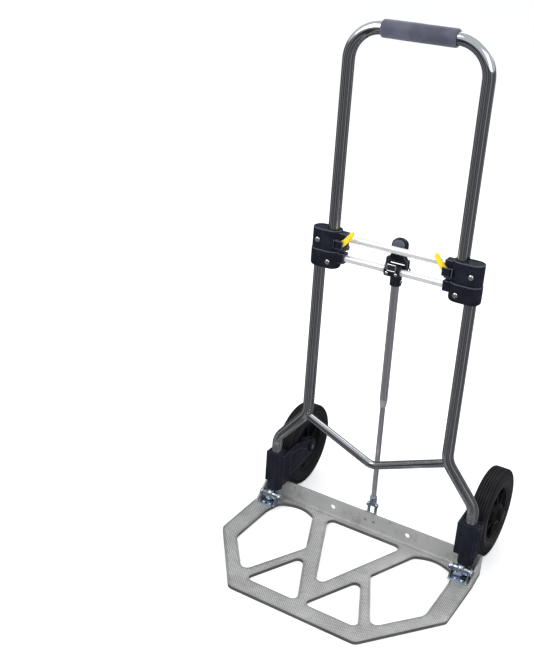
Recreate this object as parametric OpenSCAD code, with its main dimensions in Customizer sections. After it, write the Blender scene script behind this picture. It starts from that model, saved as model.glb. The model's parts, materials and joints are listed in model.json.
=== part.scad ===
// Folding hand truck: a swinging toe plate, swivelling wheels and a telescopic handle.
// It is drawn with its legs in the plane y = 0, the toe plate towards -Y and the floor at z = 0,
// and each node is then moved along Y so that the origin is in the middle of the floor it covers.

/* [Frame] */
// Outside diameter of the leg and handle tubes
tube_d = 22; // [18:0.5:26]
// Wall thickness of the leg and handle tubes
tube_wall = 1.5; // [1:0.25:2.5]
// Distance from the middle to a leg tube above its bends
leg_x = 149.5; // [130:0.5:170]
// Distance from the middle to a leg tube below its bends
foot_x = 214; // [190:1:260]
// Height of the lower corner of a leg's bends
bend_low_z = 155; // [145:1:165]
// Height of the upper corner of a leg's bends
bend_high_z = 234; // [215:1:250]
// Centreline radius of a leg's bends
leg_bend_r = 45; // [35:1:50]
// Diameter of the V-shaped crossbar
cross_d = 16; // [12:0.5:19]
// Drop of the crossbar's middle below its ends
cross_drop = 62; // [40:1:75]

/* [Handle] */
// Height of the centreline of the handle's top
handle_top_z = 988; // [860:1:1200]
// Centreline radius of the handle's corners
handle_bend_r = 58; // [45:1:70]
// Bare tube left between the foam grip and each corner of the handle
grip_inset = 1; // [0:1:20]
// Diameter of the foam grip
grip_d = 31; // [27:0.5:38]
// Gap between a leg tube and the handle tube beside it
tube_gap = 1.5; // [1:0.25:4]
// Distance that the handle slides down
handle_travel = 284; // [200:1:284]

/* [Collars] */
// Height of the seam between the upper and lower collars
seam_z = 587; // [560:1:600]
// Gap at the seam
seam_gap = 0.5; // [0.3:0.1:1]
// Height of an upper collar
upper_collar_h = 39; // [34:1:44]
// Height of a lower collar
lower_collar_h = 35; // [31:1:40]
// Plastic around the tubes in a collar
collar_wall = 6; // [4:0.5:8]
// Diameter of the two tie bars
tie_d = 13; // [10:0.5:14]
// Height of the upper tie bar above the seam
upper_tie_rise = 27; // [25:1:29]
// Depth of the lower tie bar below the seam
lower_tie_drop = 12; // [10:1:13]

/* [Toe plate] */
// Depth of the toe plate from its flange to its front edge
plate_depth = 317; // [260:1:400]
// Thickness of the toe plate
plate_t = 7; // [5:0.5:9]
// Height of the flange above the plate
flange_h = 37.5; // [32:0.5:42]
// Thickness of the flange
flange_t = 3.5; // [2.5:0.25:4]
// Distance from the leg plane to the back of the flange
flange_y = 22; // [20:0.5:23]
// Distance between the two screw holes in the flange
flange_hole_spacing = 168; // [120:1:220]
// Diameter of the screw holes in the flange
flange_hole_d = 11; // [6:0.5:13]

/* [Toe plate hinge] */
// Metal left between the hinge pin and the leg tube behind it
pin_wall = 0.5; // [0.4:0.1:2]
// Height of the hinge pin above the top of the plate
hinge_rise = 17; // [15:0.5:20]
// Diameter of the hinge pin
hinge_pin_d = 8; // [6:0.5:9]
// Diameter of the hinge knuckle
knuckle_d = 16; // [13:0.5:17]

/* [Wheels] */
// Radius of a wheel
wheel_r = 90; // [75:1:108]
// Width of a tyre
wheel_w = 36; // [28:1:40]
// Diameter of an axle
axle_d = 12; // [10:0.5:16]
// Gap between a tyre and the sleeve in front of it
wheel_gap = 1.5; // [1:0.25:6]
// Outside diameter of a bracket's sleeve
sleeve_d = 31; // [29:0.5:34]
// Height of the top of a bracket's sleeve
sleeve_top_z = 122; // [105:1:130]
// Thickness of a bracket's arm
arm_t = 4; // [3:0.25:5]

/* [Centre linkage] */
// Wall thickness of the centre tube
centre_wall = 1.2; // [1:0.1:1.5]
// Plastic between the centre tube and the rod
bush_wall = 1.3; // [1:0.1:1.5]
// Diameter of the centre rod
rod_d = 10; // [8:0.5:11]
// Gap left between the centre tube's bush and the rod's end when the truck is folded
fold_gap = 4.5; // [1:0.5:10]
// Distance of the head's tube behind the leg plane
head_y = 14; // [13.5:0.25:16]

/* [Fits] */
// Radial clearance where a piece slides or turns on another
run_fit = 0.06; // [0.02:0.01:0.1]
// Radial clearance of a rivet or a pushed-in end
seat_fit = 0.04; // [0.02:0.01:0.1]

/* [Hidden] */
$fn = 64;

tube_r = tube_d / 2;
weld_l = 0.8;
weld_proud = 0.04;
leg_lean = atan((foot_x - leg_x) / (bend_high_z - bend_low_z));
leg_tangent = leg_bend_r * tan(leg_lean / 2);
leg_slant = norm([foot_x - leg_x, bend_high_z - bend_low_z]) - 2 * leg_tangent;
handle_x = leg_x - tube_d - tube_gap;
grip_len = 2 * (handle_x - handle_bend_r - grip_inset);

collar_r = tube_r + collar_wall;
upper_z0 = seam_z + seam_gap;
upper_z1 = upper_z0 + upper_collar_h;
lower_z0 = seam_z - lower_collar_h;
collar_cap = 8;
leg_top_z = upper_z1 - collar_cap;
handle_foot_z = lower_z0 + collar_cap / 2;
upper_rivet_z = upper_z0 + 17;
lower_rivet_z = seam_z - 21;
upper_tie_z = seam_z + upper_tie_rise;
lower_tie_z = seam_z - lower_tie_drop;
lug_in_x = handle_x - collar_r - 12;
tie_end_x = handle_x - collar_r - 3;
lug_y = tie_d / 2 + 2.5;
lug_wall = 3;
lug_step = 2;
tie_end_gap = 0.3;

rivet_d = 6;
rivet_head_d = 10;
rivet_head_h = 2.6;

lock_z = upper_z0 + 8.5;
lock_d = 6;
lock_gap = 0.9;
lever_pin_d = 4;
lever_z = upper_tie_z - tie_d / 2 - lever_pin_d / 2 - 1;
lever_x = lug_in_x + 5;
lever_t = 7;
lever_reach = 30;
lever_lean = 36;

hinge_y = tube_r + hinge_pin_d / 2 + pin_wall;
hinge_z = plate_t + hinge_rise;
ear_t = 3;
knuckle_l = 29;
ear_gap = 1.5;
ear_in = knuckle_l / 2 + ear_gap;
ear_out = ear_in + ear_t;
ear_r = hinge_pin_d / 2 + 4.5;
base_t = 2.5;
base_front = 19;
base_back = 16;
bolt_r = 7.2;
bolt_head_h = 4.5;
bolt_nut_h = 3.4;
foot_r = tube_r + 2;
foot_z0 = plate_t + 5;
sleeve_z0 = hinge_z + knuckle_d / 2 + 2;
leg_foot_z = foot_z0 + 4;
foot_rivet_z = hinge_z + 4;

side_x = foot_x + 29;
back_x = side_x - 3;
flange_f = flange_y - flange_t;
front_y = flange_y - plate_depth;
fillet_r = 6;
flange_hole_z = plate_t + flange_h / 2;

axle_y = wheel_r + sleeve_d / 2 + wheel_gap;
axle_z = wheel_r;
arm_in = wheel_w / 2 + 1.5;
arm_out = arm_in + arm_t;
hub_r = 58;
bearing_r = 14;
bearing_w = 9;
cap_r = 19;
nut_af = 19;
boss_r = 18;
guard_t = 4;
guard_gap = 3.5;
web_y = -9;
web_l = 20;

head_z = lower_tie_z - 10;
pin_y = flange_y + 6;
pin_z = plate_t + flange_h + 15.5;
rod_tilt = atan((pin_y - head_y) / (head_z - pin_z));
rod_reach = norm([pin_y - head_y, head_z - pin_z]);
folded_pin_y = pin_z - hinge_z - hinge_y;
folded_pin_z = hinge_z - pin_y - hinge_y;
rod_slide = rod_reach - norm([folded_pin_y - head_y, head_z - handle_travel - folded_pin_z]);
screw_seat = 1.5;
bush_l = 16;
rod_foot = 14;
rod_end_l = 21;
centre_d = rod_d + 2 * (bush_wall + centre_wall);
centre_len = rod_reach - rod_slide - bush_l - rod_end_l - fold_gap;
rod_overlap = 20;
rod_len = rod_reach - centre_len + rod_overlap;
pin_gap = 1.2;
clevis_pin_d = 6;
cheek_in = 6.5;
cheek_t = 2;
latch_y = head_y + 0.5;
latch_z = lower_tie_z + 2;
latch_pin_r = 3;
latch_cheek = 6;
latch_in = 15.6;
latch_r = 5.6;
knob_r = 8;
knob_half = 14.5;
knob_h = 13;
head_half = 15;
head_wall = 5;
head_drop = 10;
socket_wall = 3.2;
socket_h = 21;
screw_d = 7;
screw_x = 9;
screw_lean = 14;
bracket_rivet_d = 5;
clevis_rivet_d = 4;

// Moves its children so that the origin is in the middle of the floor that the truck covers.
module centred() { translate([0, -(front_y + axle_y + wheel_r) / 2, 0]) children(); }

// Places its children on the right side as drawn, or mirrored to the left.
module on_side(side) { mirror([side == "left" ? 1 : 0, 0, 0]) children(); }

// A cylinder along X that starts at x = 0.
module rod_x(r, l) { rotate([0, 90, 0]) cylinder(r=r, h=l); }

// A cylinder along Y, centred.
module rod_y(r, l) { rotate([90, 0, 0]) cylinder(r=r, h=l, center=true); }

// An outline in the YZ plane, given thickness t towards +X.
module slab_x(t) { rotate([90, 0, 90]) linear_extrude(t) children(); }

// A round bar or tube bent from +Z towards -X by angle a, starting at the origin.
module bend(r, a, d, bore=0) {
    translate([-r, 0, 0]) rotate([90, 0, 0]) rotate_extrude(angle=a) translate([r, 0]) difference() {
        circle(d=d);
        if (bore > 0) circle(d=bore);
    }
}

// A domed rivet head that stands on z = 0.
module dome(d, h) {
    ball = (d * d / 4 + h * h) / (2 * h);
    rotate_extrude() intersection() {
        translate([0, h - ball]) circle(r=ball, $fn=96);
        square([d, h]);
    }
}

// A rivet along Z through a thickness of grip, with a domed head at each end.
module rivet(grip, d=rivet_d, head_d=rivet_head_d, head_h=rivet_head_h) {
    cylinder(d=d, h=grip, center=true);
    for (s = [0, 1]) mirror([0, 0, s]) translate([0, 0, grip / 2]) dome(head_d, head_h);
}

// Points of a closed outline whose corners are rounded to the given radii.
function unit(v) = v / norm(v);
function arc_points(c, r, a0, a1, n) = [for (i = [0:n]) c + r * [cos(a0 + (a1 - a0) * i / n), sin(a0 + (a1 - a0) * i / n)]];
function corner(p, q, s, r, n) =
    let (u = unit(p - q), v = unit(s - q), half = acos(u * v) / 2, m = unit(u + v), c = q + m * r / sin(half))
    let (t0 = q + u * r / tan(half) - c, t1 = q + v * r / tan(half) - c)
    let (a0 = atan2(t0[1], t0[0]), d = atan2(t1[1], t1[0]) - a0, turn = d > 180 ? d - 360 : d < -180 ? d + 360 : d)
    arc_points(c, r, a0, a0 + turn, n);
function rounded(pts, radii, n=6) =
    let (k = len(pts))
    [for (i = [0:k - 1]) each corner(pts[(i + k - 1) % k], pts[i], pts[(i + 1) % k], radii[i], n)];
function flipped(pts) = [for (i = [len(pts) - 1:-1:0]) [-pts[i][0], pts[i][1]]];

// A straight stretch of bar along Z; bore is the diameter of its hole, or 0 for a solid bar.
module straight(l, d, bore=0) {
    difference() {
        cylinder(d=d, h=l);
        if (bore > 0) translate([0, 0, -1]) cylinder(d=bore, h=l + 2);
    }
}

// A weld ring that joins two stretches of bar whose ends meet at its middle.
module weld(d, bore=0) {
    translate([0, 0, -weld_l / 2]) straight(weld_l, d + weld_proud, bore > 0 ? bore - weld_proud : 0);
}

// The path of a right leg as a bar or tube of diameter d from height z0 to height z1.
module leg_bar(d, z0, z1, bore=0) {
    gap = weld_l / 8;
    low = bend_low_z - leg_tangent;
    high = bend_high_z + leg_tangent;
    translate([foot_x, 0, z0]) straight(low - z0 - gap, d, bore);
    translate([foot_x, 0, low]) {
        weld(d, bore);
        bend(leg_bend_r, leg_lean, d, bore);
        translate([-leg_bend_r * (1 - cos(leg_lean)), 0, leg_bend_r * sin(leg_lean)])
            rotate([0, -leg_lean, 0]) {
                weld(d, bore);
                translate([0, 0, gap]) straight(leg_slant - 2 * gap, d, bore);
                translate([0, 0, leg_slant]) {
                    weld(d, bore);
                    rotate([0, 0, 180]) bend(leg_bend_r, leg_lean, d, bore);
                }
            }
    }
    translate([leg_x, 0, high]) {
        weld(d, bore);
        translate([0, 0, gap]) straight(z1 - high - gap, d, bore);
    }
}

module leg_tube(side) {
    color("silver") on_side(side) difference() {
        leg_bar(tube_d, leg_foot_z, leg_top_z, tube_d - 2 * tube_wall);
        translate([leg_x, 0, upper_rivet_z]) rod_y(rivet_d / 2 + seat_fit, tube_d + 2);
        translate([foot_x - tube_d, 0, foot_rivet_z]) rod_x(rivet_d / 2 + seat_fit, 2 * tube_d);
    }
}

// The crossbar's ends are coped against the legs just below their upper bends.
module crossbar() {
    run = leg_x + 4;
    slope = atan(cross_drop / run);
    bow_r = 30;
    end_drop = 5;
    bow_t = bow_r * tan(slope / 2);
    arm_l = run / cos(slope) - bow_t;
    color("gainsboro") difference() {
        for (s = [0, 1]) mirror([s, 0, 0])
            translate([0, 0, bend_high_z - end_drop - cross_drop + bow_r / cos(slope) - bow_r]) {
                translate([0, 0, bow_r]) rotate([90, 0, 0]) rotate([0, 0, -90])
                    rotate_extrude(angle=slope) translate([bow_r, 0]) circle(d=cross_d);
                translate([bow_r * sin(slope), 0, bow_r * (1 - cos(slope))]) rotate([0, 90 - slope, 0]) {
                    weld(cross_d);
                    translate([0, 0, weld_l / 8]) straight(arm_l, cross_d);
                }
            }
        for (side = ["left", "right"]) on_side(side)
            leg_bar(tube_d + 2 * seat_fit, bend_low_z - leg_tangent - 40, leg_top_z);
        for (s = [0, 1]) mirror([s, 0, 0]) translate([leg_x, -tube_d, bend_low_z]) cube([60, 2 * tube_d, 150]);
    }
}

// A cast foot under each leg, with the hinge knuckle in front of it.
module leg_foot(side) {
    color("lightsteelblue") on_side(side) translate([foot_x, 0, 0]) difference() {
        union() {
            translate([0, 0, foot_z0]) cylinder(r=foot_r, h=sleeve_z0 - 0.3 - foot_z0);
            translate([-knuckle_l / 2, -hinge_y, hinge_z]) rod_x(knuckle_d / 2, knuckle_l);
            translate([-foot_r + 3, -hinge_y, hinge_z - knuckle_d / 2]) cube([2 * foot_r - 6, hinge_y, knuckle_d]);
        }
        translate([0, 0, leg_foot_z]) cylinder(r=tube_r + seat_fit, h=sleeve_z0);
        translate([-knuckle_l, -hinge_y, hinge_z]) rod_x(hinge_pin_d / 2 + run_fit, 2 * knuckle_l);
        translate([-tube_d, 0, foot_rivet_z]) rod_x(rivet_d / 2 + seat_fit, 2 * tube_d);
    }
}

module foot_rivets() {
    color("silver") for (side = ["left", "right"]) on_side(side)
        translate([foot_x, 0, foot_rivet_z]) rotate([0, 90, 0]) rivet(2 * foot_r, rivet_d, 8.5, 1);
}

// The block shared by the collars: it wraps a leg tube and the handle tube beside it.
module collar_block(z0, h) {
    for (x = [leg_x, handle_x]) translate([x, 0, z0]) cylinder(r=collar_r, h=h);
    translate([handle_x, -collar_r, z0]) cube([leg_x - handle_x, 2 * collar_r, h]);
}

// The lug that holds the end of a tie bar on the inner side of a collar.
module tie_lug(z0, z1) {
    translate([lug_in_x, -lug_y, z0]) cube([handle_x - tube_r - lug_in_x - 2, 2 * lug_y, z1 - z0]);
}

// The blind hole that a tie bar's end seats in.
module tie_bore(z) {
    translate([lug_in_x - 1, 0, z]) rod_x(tie_d / 2 + seat_fit, tie_end_x - lug_in_x + 1 + tie_end_gap);
}

module upper_collar(side) {
    color([0.13, 0.14, 0.19]) on_side(side) difference() {
        union() {
            collar_block(upper_z0, upper_collar_h);
            tie_lug(upper_z0 + lug_step, upper_tie_z + tie_d / 2 + lug_wall);
        }
        translate([leg_x, 0, upper_z0 - 1]) cylinder(r=tube_r + seat_fit, h=leg_top_z - upper_z0 + 1);
        translate([leg_x, 0, upper_z1 - 2]) cylinder(r=tube_r, h=3);
        translate([handle_x, 0, upper_z0 - 1]) cylinder(r=tube_r + run_fit, h=upper_collar_h + 2);
        tie_bore(upper_tie_z);
        translate([lug_in_x - 1, 0, lock_z]) rod_x(lock_d / 2 + run_fit, handle_x - lug_in_x);
        translate([leg_x, 0, upper_rivet_z]) rod_y(rivet_d / 2 + seat_fit, 3 * collar_r);
        translate([lever_x, 0, lever_z]) rod_y(lever_pin_d / 2 + seat_fit, 3 * collar_r);
    }
}

module lower_collar(side) {
    color([0.13, 0.14, 0.19]) on_side(side) difference() {
        union() {
            collar_block(lower_z0, lower_collar_h);
            tie_lug(lower_tie_z - tie_d / 2 - lug_wall, seam_z - lug_step);
        }
        translate([leg_x, 0, lower_z0 - 1]) cylinder(r=tube_r + run_fit, h=lower_collar_h + 2);
        translate([handle_x, 0, handle_foot_z]) cylinder(r=tube_r + seat_fit, h=lower_collar_h);
        tie_bore(lower_tie_z);
        translate([handle_x, 0, lower_rivet_z]) rod_y(rivet_d / 2 + seat_fit, 3 * collar_r);
    }
}

module tie_bar(z) { color("whitesmoke") translate([-tie_end_x, 0, z]) rod_x(tie_d / 2, 2 * tie_end_x); }

module collar_rivets(x, z) {
    color("white") for (s = [-1, 1]) translate([s * x, 0, z]) rotate([90, 0, 0]) rivet(2 * collar_r);
}

// Each lever turns on a pin that is pressed into its lug and stands out at the front.
module lever_pins() {
    color("silver") for (side = ["left", "right"]) on_side(side)
        translate([lever_x, 0, lever_z]) {
            translate([0, -lever_t / 2 - 0.5, 0]) rod_y(lever_pin_d / 2, 2 * lug_y + lever_t + 1);
            translate([0, -lug_y - lever_t - 1, 0]) rotate([90, 0, 0]) dome(lever_pin_d + 2, 1.2);
        }
}

module release_lever(side) {
    bow_r = 60;
    color("gold") on_side(side) translate([lever_x, -lug_y - 0.5, lever_z]) rotate([90, 0, 0])
        difference() {
            linear_extrude(lever_t) union() {
                circle(r=6);
                intersection() {
                    difference() {
                        rotate([0, 0, 90 + lever_lean]) translate([0, bow_r]) circle(r=bow_r + 5, $fn=180);
                        rotate([0, 0, 90 + lever_lean]) translate([0, bow_r]) circle(r=bow_r - 4, $fn=180);
                    }
                    rotate([0, 0, 90 + lever_lean]) translate([0, -12]) square([lever_reach, 24]);
                }
            }
            translate([0, 0, -1]) cylinder(d=lever_pin_d + 2 * run_fit, h=lever_t + 2);
        }
}

// A spring pin that locks the handle tube, drawn back by its lever.
module lock_pin(side) {
    tip_x = handle_x - tube_r - lock_gap;
    color("silver") on_side(side) translate([0, 0, lock_z]) {
        translate([lug_in_x - 1, 0, 0]) rod_x(lock_d / 2, tip_x - lug_in_x + 1);
        translate([lug_in_x - 3.5, 0, 0]) rod_x(lock_d / 2 + 2, 3);
    }
}

// The handle as a tube with its open ends at height z0.
module handle_bar(z0) {
    bore = tube_d - 2 * tube_wall;
    top = handle_x - handle_bend_r;
    for (s = [0, 1]) mirror([s, 0, 0]) {
        translate([handle_x, 0, z0]) straight(handle_top_z - handle_bend_r - z0, tube_d, bore);
        translate([handle_x, 0, handle_top_z - handle_bend_r]) bend(handle_bend_r, 90, tube_d, bore);
    }
    translate([-top, 0, handle_top_z]) rotate([0, 90, 0]) straight(2 * top, tube_d, bore);
}

module handle_tube() {
    color("silver") difference() {
        handle_bar(handle_foot_z);
        for (s = [-1, 1]) translate([s * handle_x, 0, lower_rivet_z]) rod_y(rivet_d / 2 + seat_fit, 2 * tube_d);
    }
}

module foam_grip() {
    round_r = 4;
    r = grip_d / 2;
    color([0.2, 0.22, 0.28]) translate([-grip_len / 2, 0, handle_top_z]) difference() {
        union() {
            translate([round_r, 0, 0]) rod_x(r, grip_len - 2 * round_r);
            for (x = [round_r, grip_len - round_r]) translate([x, 0, 0]) rotate([0, 90, 0])
                rotate_extrude() {
                    translate([r - round_r, 0]) circle(r=round_r);
                    translate([0, -round_r]) square([r - round_r, 2 * round_r]);
                }
        }
        translate([-1, 0, 0]) rod_x(tube_r + seat_fit, grip_len + 2);
    }
}

// Turns its children so that -Z runs down the centre tube from its pivot in the head.
module down_rod() { translate([0, head_y, head_z]) rotate([rod_tilt, 0, 0]) children(); }

// The head clamps the lower tie bar and holds the top of the centre tube.
module centre_head() {
    eye_r = latch_pin_r + 3.5;
    wide = 2 * head_half;
    color([0.1, 0.1, 0.13]) difference() {
        union() {
            translate([-head_half, 0, lower_tie_z]) rod_x(tie_d / 2 + head_wall, wide);
            translate([-head_half, 0, lower_tie_z - head_drop]) cube([wide, latch_y - 1, head_drop + 9]);
            translate([-head_half, latch_y, latch_z]) rod_x(eye_r, wide);
            translate([-head_half, latch_y - 2, lower_tie_z - head_drop]) cube([wide, eye_r + 2, head_drop]);
            down_rod() translate([0, 0, -socket_h]) cylinder(r=centre_d / 2 + socket_wall, h=socket_h + 2);
        }
        translate([-head_half - 1, 0, lower_tie_z]) rod_x(tie_d / 2 + seat_fit, wide + 2);
        translate([-head_half - 1, latch_y, latch_z]) rod_x(latch_pin_r + seat_fit, wide + 2);
        down_rod() translate([0, 0, -2 * socket_h]) cylinder(r=centre_d / 2 + seat_fit, h=2 * socket_h - 2);
        at_head_screws() translate([0, 0, -screw_seat]) cylinder(d=screw_d + 2 * seat_fit, h=screw_seat + 5);
    }
}

// Where the head's three screws stand; each child is drawn with its head towards +Z.
module at_head_screws() {
    front = tie_d / 2 + head_wall;
    for (x = [-screw_x, screw_x]) translate([x, 0, lower_tie_z])
        rotate([90 + screw_lean, 0, 0]) translate([0, 0, front]) children();
    down_rod() translate([centre_d / 2 + socket_wall, 0, -13]) rotate([0, 90, 0]) children();
}

// Domed screws on the front of the head and on the side of its sleeve.
module head_screws() {
    color("white") at_head_screws() {
        dome(screw_d, 2.4);
        translate([0, 0, -screw_seat]) cylinder(d=screw_d, h=screw_seat);
    }
}

// A bent spring wire that lies across the front of the head.
module head_wire_clip() {
    wire = 2;
    wide = 17;
    tall = 12;
    color("silver") translate([0, -tie_d / 2 - head_wall - wire / 2 - 0.1, lower_tie_z + 3]) {
        for (z = [0, tall]) translate([-wide / 2, 0, z]) rod_x(wire / 2, wide);
        for (x = [-wide / 2, wide / 2], z = [0, tall]) translate([x, 0, z]) sphere(d=wire, $fn=32);
        for (x = [-wide / 2, wide / 2]) translate([x, 0, 0]) cylinder(d=wire, h=tall);
    }
}

module latch_pin() {
    out = latch_in + latch_cheek + 1.6;
    cap = 1.4;
    color("silver") translate([-out, latch_y, latch_z]) {
        rod_x(latch_pin_r, 2 * out);
        for (x = [-cap, 2 * out]) translate([x, 0, 0]) rod_x(latch_pin_r + 1.5, cap);
    }
}

// The latch straddles the head, and its knob stands up behind the upper tie bar.
module latch_lever() {
    out = latch_in + latch_cheek;
    front = tie_d / 2 + 1.5;
    knob_z = upper_tie_z + 1;
    neck = 12;
    color([0.1, 0.1, 0.13]) difference() {
        union() {
            for (s = [0, 1]) mirror([s, 0, 0]) translate([latch_in, 0, 0]) {
                translate([0, latch_y, latch_z]) rod_x(latch_r, latch_cheek);
                translate([0, latch_y - latch_r, latch_z]) cube([latch_cheek, 2 * latch_r, 17]);
            }
            slope = [[-out, 0], [out, 0], [neck, 22], [-neck, 22]];
            translate([0, latch_y + latch_r, latch_z + 12]) rotate([90, 0, 0])
                linear_extrude(2 * latch_r) polygon(slope);
            translate([-neck, front, latch_z + 33]) cube([2 * neck, 11, knob_z - latch_z - 32]);
            translate([0, front + knob_r, knob_z - 2]) {
                translate([-knob_half, 0, 0]) rod_x(knob_r, 2 * knob_half);
                translate([-knob_half, -knob_r, 0]) cube([2 * knob_half, 2 * knob_r, knob_h]);
                translate([-knob_half, 0, knob_h]) rod_x(knob_r, 2 * knob_half);
            }
        }
        translate([-out - 1, latch_y, latch_z]) rod_x(latch_pin_r + run_fit, 2 * (out + 1));
    }
}

module centre_tube() {
    color("silver") down_rod() translate([0, 0, -centre_len]) difference() {
        cylinder(d=centre_d, h=centre_len - 2.5);
        translate([0, 0, -1]) cylinder(d=centre_d - 2 * centre_wall, h=centre_len);
    }
}

// A tapered bush at the foot of the centre tube guides the rod.
module centre_bush() {
    bore = rod_d / 2 + run_fit;
    inner = centre_d / 2 - centre_wall - seat_fit;
    color("gray") down_rod() translate([0, 0, -centre_len]) rotate_extrude()
        polygon([[bore, -bush_l], [bore + 1, -bush_l], [centre_d / 2, -2], [centre_d / 2, 0], [inner, 0],
            [inner, 10], [bore, 10]]);
}

// The rod slides in the centre tube; its end stops just above the clevis pin.
module centre_rod() {
    color("silver") down_rod() translate([0, 0, rod_foot - rod_reach]) cylinder(d=rod_d, h=rod_len - rod_foot);
}

module rod_end() {
    stop = clevis_pin_d / 2 + pin_gap;
    flat = cheek_in - 1;
    color("lightsteelblue") down_rod() translate([0, 0, -rod_reach]) difference() {
        union() {
            translate([0, 0, rod_foot]) cylinder(r=rod_d / 2 + 1.8, h=rod_end_l - rod_foot);
            translate([-flat, -6, stop]) cube([2 * flat, 12, 10]);
        }
        translate([0, 0, rod_foot]) cylinder(r=rod_d / 2 + seat_fit, h=rod_end_l);
    }
}

// The middle opening of the toe plate tapers forwards; the ribs beside it are rib_w wide.
rib_w = 33.5;
mid_half = side_x - 157;
mid_back = 5;
mid_tip = front_y + 92;
middle_window = rounded([[-mid_half, mid_back], [mid_half, mid_back], [0, mid_tip]], [13, 13, 11]);
function rib_edge(y) = [mid_half * (y - mid_tip) / (mid_back - mid_tip) + rib_w, y];

// One of the large side openings, and one of the small front ones, on the right.
side_in = rib_edge(front_y + 183);
side_back = rib_edge(-8);
side_window = rounded([side_in, side_back, [(side_back[0] + side_x - 56) / 2, 8], [side_x - 49, -8],
    [side_x - 40, -46], [side_x - 39, front_y + 137], [side_x - 107, front_y + 51]],
    [10, 16, 60, 24, 60, 26, 12]);
front_window = rounded([[side_x - 123, front_y + 36], [side_x - 181, front_y + 161], [5, front_y + 36]], [10, 10, 10]);

module toe_plate() {
    right = [[side_x - 111, front_y], [side_x, front_y + 145], [side_x, -30], [back_x, flange_y]];
    radii = [14, 14, 30, 2];
    outline = rounded(concat(right, flipped(right)), concat(radii, [2, 30, 14, 14]));
    fillet = arc_points([flange_f - fillet_r, plate_t + fillet_r], fillet_r, 0, -90, 6);
    lip = plate_t + flange_h;
    color("darkgray") difference() {
        union() {
            linear_extrude(plate_t) difference() {
                polygon(outline);
                polygon(middle_window);
                for (w = [side_window, front_window]) {
                    polygon(w);
                    polygon(flipped(w));
                }
            }
            translate([-back_x, 0, 0]) slab_x(2 * back_x) polygon(concat(
                [[flange_y, plate_t - 2], [flange_y, lip], [flange_f, lip]], fillet,
                [[flange_f - fillet_r, plate_t - 2]]));
            for (s = [0, 1]) mirror([s, 0, 0]) translate([back_x - flange_t, 0, 0]) slab_x(flange_t)
                polygon([[flange_y, plate_t - 1], [flange_y, lip], [flange_f - 6, lip], [-34, plate_t - 1]]);
        }
        for (s = [-1, 1]) translate([s * flange_hole_spacing / 2, flange_f, flange_hole_z])
            rod_y(flange_hole_d / 2, 6 * flange_t);
        for (p = bracket_rivet_at, s = [-1, 1]) translate([s * (foot_x + p[0]), p[1], -1])
            cylinder(d=bracket_rivet_d + 2 * seat_fit, h=plate_t + 2);
        for (p = clevis_rivet_at) translate([p[0], flange_y, p[1]])
            rod_y(clevis_rivet_d / 2 + seat_fit, 4 * flange_t);
    }
}

bracket_rivet_y = -hinge_y - 11.5;
bracket_rivet_at = [[-6, bracket_rivet_y], [8, bracket_rivet_y]];
clevis_rivet_at = [[-9.5, plate_t + 19.5], [9.5, plate_t + 19.5]];

// A folded steel bracket on the toe plate whose two ears hold the hinge pin.
module hinge_bracket(side) {
    front = -hinge_y - base_front;
    back = -hinge_y + base_back;
    color("lightsteelblue") on_side(side) translate([foot_x, 0, 0]) difference() {
        union() {
            translate([-ear_out, front, plate_t]) cube([2 * ear_out, back - front, base_t]);
            for (x = [-ear_out, ear_in]) translate([x, 0, 0]) {
                translate([0, -hinge_y, hinge_z]) rod_x(ear_r, ear_t);
                slab_x(ear_t) polygon([[front, plate_t], [back, plate_t], [-hinge_y + ear_r, hinge_z],
                    [-hinge_y - ear_r, hinge_z]]);
            }
        }
        translate([-ear_out - 1, -hinge_y, hinge_z]) rod_x(hinge_pin_d / 2 + seat_fit, 2 * ear_out + 2);
        for (p = bracket_rivet_at) translate([p[0], p[1], 0])
            cylinder(d=bracket_rivet_d + 2 * seat_fit, h=plate_t + 2 * base_t);
    }
}

module hinge_bracket_rivets() {
    color("silver") for (s = [-1, 1], p = bracket_rivet_at) translate([s * (foot_x + p[0]), p[1], 0]) {
        cylinder(d=bracket_rivet_d, h=plate_t + base_t);
        translate([0, 0, plate_t + base_t]) dome(bracket_rivet_d + 3, 1.8);
    }
}

// A bolt with a hexagon head on the inner side and a nut on the outer side.
module hinge_pin(side) {
    color("lightsteelblue") on_side(side) translate([foot_x, -hinge_y, hinge_z]) {
        translate([-ear_out - bolt_head_h, 0, 0]) rotate([0, 90, 0]) cylinder(r=bolt_r, h=bolt_head_h, $fn=6);
        translate([-ear_out - 1, 0, 0]) rod_x(hinge_pin_d / 2, 2 * ear_out + 3);
        translate([ear_out, 0, 0]) rotate([0, 90, 0]) cylinder(r=bolt_r, h=bolt_nut_h, $fn=6);
    }
}

// The clevis stands on the back of the flange and carries the lower end of the centre linkage.
module clevis() {
    top = plate_t + flange_h;
    color("lightsteelblue") difference() {
        union() {
            translate([-13, flange_y, plate_t + 14]) cube([26, 2, flange_h - 14]);
            for (x = [-cheek_in - cheek_t, cheek_in]) translate([x, 0, 0]) {
                translate([0, pin_y, pin_z]) rod_x(6, cheek_t);
                slab_x(cheek_t) polygon([[flange_y, top - 14], [flange_y + 10, top - 14], [pin_y + 6, pin_z],
                    [flange_y, pin_z]]);
            }
        }
        translate([-20, pin_y, pin_z]) rod_x(clevis_pin_d / 2 + seat_fit, 40);
        for (p = clevis_rivet_at) translate([p[0], flange_y, p[1]])
            rod_y(clevis_rivet_d / 2 + seat_fit, 4 * flange_t);
    }
}

module clevis_pin() {
    out = cheek_in + cheek_t;
    color("silver") translate([-out - 2, pin_y, pin_z]) {
        rod_x(clevis_pin_d / 2, 2 * out + 4);
        translate([-2, 0, 0]) rod_x(clevis_pin_d / 2 + 1.5, 2);
        translate([2 * out + 2.2, 0, 0]) rod_x(clevis_pin_d / 2 + 1.5, 2);
    }
}

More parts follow.
